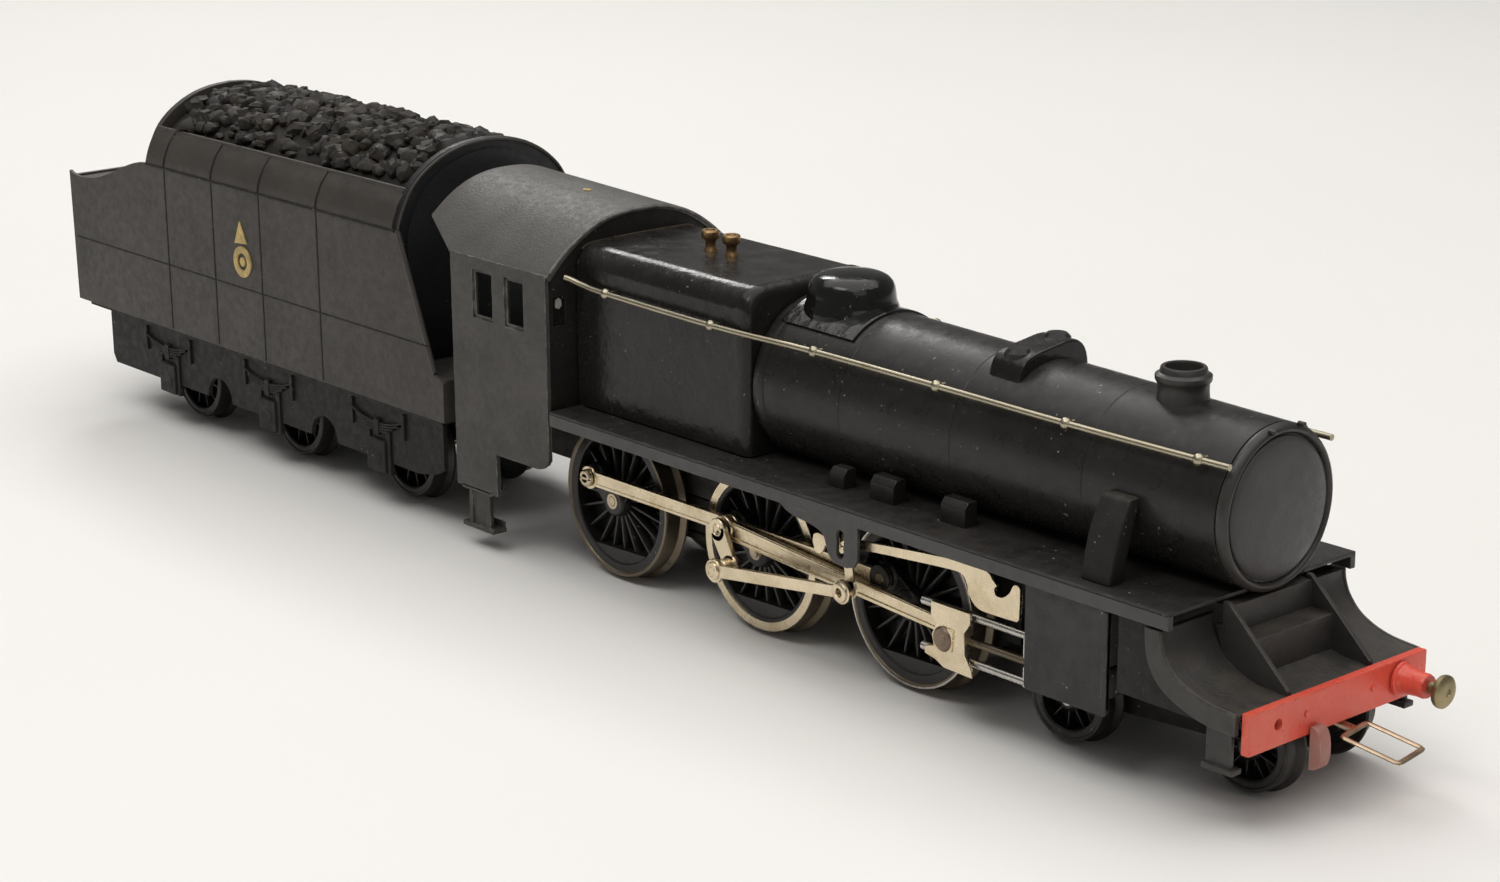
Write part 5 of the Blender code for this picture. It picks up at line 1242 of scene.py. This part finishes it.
def coal_heap():
    """Rounded heap covered with seeded angular lumps."""
    random.seed(7)
    x0, x1, half = -155.0, -81.5, 14.3

    def crown(x, y):
        across = max(1.0 - (abs(y) / half) ** 2.2, 0.0)
        ends = min((x - x0) / 6.0, (x1 - x) / 6.0, 1.0)
        wave = 0.8 * noise.noise(Vector((x * 0.11, y * 0.13, 3.0)))
        return 52.3 + (7.3 + wave) * across ** 0.7 * (0.88 + 0.12 * max(ends, 0.0))

    columns, rows = 60, 28
    bm = bmesh.new()
    top = [[bm.verts.new((x0 + (x1 - x0) * i / columns, -half + 2 * half * j / rows,
                          crown(x0 + (x1 - x0) * i / columns, -half + 2 * half * j / rows) - 1.0))
            for j in range(rows + 1)] for i in range(columns + 1)]
    for i in range(columns):
        for j in range(rows):
            bm.faces.new((top[i][j], top[i + 1][j], top[i + 1][j + 1], top[i][j + 1]))
    rim = ([(i, 0) for i in range(columns)] + [(columns, j) for j in range(rows)]
           + [(i, rows) for i in range(columns, 0, -1)] + [(0, j) for j in range(rows, 0, -1)])
    base = {k: bm.verts.new((top[k[0]][k[1]].co.x, top[k[0]][k[1]].co.y, 41.3)) for k in rim}
    for a, b in zip(rim, rim[1:] + rim[:1]):
        bm.faces.new((top[a[0]][a[1]], top[b[0]][b[1]], base[b], base[a]))
    bm.faces.new([base[k] for k in rim])
    heap = [bm]
    for _ in range(640):
        x, y = random.uniform(x0 + 1.2, x1 - 1.2), random.uniform(-half + 1.0, half - 1.0)
        size = random.uniform(0.8, 2.1)
        lump = bmesh.new()
        bmesh.ops.create_icosphere(lump, subdivisions=2, radius=1.0)
        where = Vector((random.uniform(-9, 9), random.uniform(-9, 9), 0.0))
        for v in lump.verts:
            v.co *= 0.95 + 0.42 * noise.noise(v.co * 1.3 + where)
        stretch = Vector((random.uniform(0.8, 1.35), random.uniform(0.7, 1.1),
                          random.uniform(0.6, 0.95)))
        spin = Matrix.Rotation(random.uniform(0, math.tau), 4, "Z") @ Matrix.Rotation(
            random.uniform(-0.6, 0.6), 4, "X")
        place = Matrix.Translation((x, y, min(crown(x, y) - 0.5, 61.1 - size)))
        lump.transform(place @ spin @ Matrix.Diagonal((*(stretch * size), 1.0)))
        heap.append(lump)
    return gather(*heap)


piece("coal_lumps", coal_heap(), COAL, "tender", ["coal_load"], crease=30.0)


def tender_frame_side():
    """Right outside frame with axleboxes, leaf springs and hangers."""
    outline = ([(-70.0, 17.2), (-70.0, 9.5), (-72.5, 8.2), (-77.0, 7.4), (-99.0, 7.4)]
               + round_corner((-104.5, 7.4), 4.0, 0, 180, 8) + [(-112.0, 7.4), (-131.5, 7.4)]
               + round_corner((-137.5, 7.4), 4.0, 0, 180, 8)
               + [(-144.0, 7.4), (-173.5, 7.4), (-174.5, 9.0), (-174.5, 17.2)])
    parts = [slab(outline, "Y", -16.8, -16.0, 0.0)]
    for x in TENDER_AXLES:
        parts.append(block(x - 2.4, x + 2.4, -17.6, -16.3, 5.5, 11.0, 0.25))
        parts.append(drum("Y", (x, 0.0, 8.0), 1.5, -17.7, -17.2, 20, 0.2))
        for near in (x - 3.4, x + 2.3):
            parts.append(block(near, near + 1.1, -17.2, -16.3, 5.4, 13.0, 0.1))
        for leaf in range(4):
            reach = 7.6 - 1.5 * leaf
            lift = 12.3 + 0.42 * (3 - leaf)
            line = [(x + t * reach, lift + 1.5 * (t * reach / 7.6) ** 2)
                    for t in (-1, -0.6, -0.2, 0.2, 0.6, 1)]
            band = line + [(a, b + 0.34) for a, b in reversed(line)]
            parts.append(slab(band, "Y", -17.4, -16.4, 0.05))
        parts.append(block(x - 0.7, x + 0.7, -17.55, -16.4, 11.8, 14.5, 0.12))
        for end in (-7.4, 7.4):
            parts.append(block(x + end - 0.35, x + end + 0.35, -17.3, -16.5, 12.2, 16.6, 0.1))
    return gather(*parts)


def tender_frame():
    """Outside and inner frames, deck and stretchers of the tender."""
    side = tender_frame_side()
    inner = block(-172.0, -74.0, -6.4, -5.4, 10.0, 17.2, 0.1)
    horns = [block(x - 3.0, x + 3.0, -6.4, -5.4, 5.0, 10.2, 0.1) for x in TENDER_AXLES]
    return gather(both(gather(side, inner, *horns)),
                  block(-181.5, -70.0, -17.0, 17.0, 17.0, 17.7, 0.1),
                  block(-80.5, -70.0, -6.0, 6.0, 15.2, 17.4, 0.12),
                  block(-175.0, -171.0, -6.0, 6.0, 9.0, 17.4, 0.12),
                  block(-181.0, -174.0, -4.0, 4.0, 12.7, 17.4, 0.12))


piece("tender_frames", tender_frame(), FRAME_PAINT, "tender", ["tender_chassis"])


# ------------------------------------------------- floor, light and the camera
def floor_material():
    """Plain pale matt floor with a faint unevenness."""
    g = Graph("floor_white")
    tone = g.mix(g.between(g.noise(3.0, 4.0), 0.3, 0.7), (0.86, 0.85, 0.83, 1),
                 (0.89, 0.88, 0.865, 1))
    g.feed(g.shader.inputs["Base Color"], tone)
    g.shader.inputs["Roughness"].default_value = 0.75
    bump = g.add("ShaderNodeBump", Height=g.noise(300.0, 4.0), Strength=0.05)
    g.feed(g.shader.inputs["Normal"], bump.outputs["Normal"])
    return g.material


FLOOR_HALF = 6.0
mesh = bpy.data.meshes.new("floor")
mesh.from_pydata([(x * FLOOR_HALF, y * FLOOR_HALF, 0.0)
                  for x, y in ((-1, -1), (1, -1), (1, 1), (-1, 1))], [], [(0, 1, 2, 3)])
mesh.materials.append(floor_material())
add_object("floor", mesh)

world = bpy.data.worlds.new("studio")
world.use_nodes = True
world.node_tree.nodes["Background"].inputs["Color"].default_value = (1.0, 0.985, 0.96, 1.0)
world.node_tree.nodes["Background"].inputs["Strength"].default_value = 0.16
bpy.context.scene.world = world


def softbox(name, spot, target, size, power, colour=(1.0, 0.985, 0.96)):
    """Rectangular area light that faces a target."""
    light = bpy.data.lights.new(name, "AREA")
    light.shape = "RECTANGLE"
    light.size, light.size_y = size
    light.energy = power
    light.color = colour
    obj = add_object(name, light)
    obj.location = spot
    obj.rotation_euler = (Vector(target) - Vector(spot)).to_track_quat("-Z", "Y").to_euler()


softbox("softbox_top", (0.0, 0.04, 1.0), (0.0, 0.0, 0.0), (1.8, 1.5), 13.2, (1.0, 0.98, 0.95))
softbox("softbox_back", (-0.80, 0.42, 0.66), (0.0, 0.0, 0.03), (0.26, 0.18), 1.7)
softbox("softbox_side", (0.95, -0.35, 0.65), (0.0, 0.0, 0.03), (0.6, 0.6), 0.8, (1.0, 0.98, 0.96))
softbox("softbox_front", (0.05, -0.62, 0.95), (0.0, 0.0, 0.03), (0.45, 0.3), 1.7)

CAMERA_SPOT = Vector((0.331457, -0.269143, 0.141834))
CAMERA_YAW = 0.853037842
CAMERA_PITCH = 0.283314646
CAMERA_ROLL = -0.0057965745
back = Vector((math.sin(CAMERA_YAW) * math.cos(CAMERA_PITCH),
               -math.cos(CAMERA_YAW) * math.cos(CAMERA_PITCH), math.sin(CAMERA_PITCH)))
level = Vector((math.cos(CAMERA_YAW), math.sin(CAMERA_YAW), 0.0))
rise = back.cross(level)
right = math.cos(CAMERA_ROLL) * level + math.sin(CAMERA_ROLL) * rise
upward = -math.sin(CAMERA_ROLL) * level + math.cos(CAMERA_ROLL) * rise
lens = bpy.data.cameras.new("camera")
lens.lens = 72.0
lens.sensor_width = 36.0
lens.clip_start = 0.01
lens.clip_end = 30.0
camera = add_object("camera", lens)
camera.matrix_world = Matrix.Translation(CAMERA_SPOT) @ Matrix(
    (right, upward, back)).transposed().to_4x4()
bpy.context.scene.camera = camera
bpy.context.scene.view_settings.view_transform = "Standard"
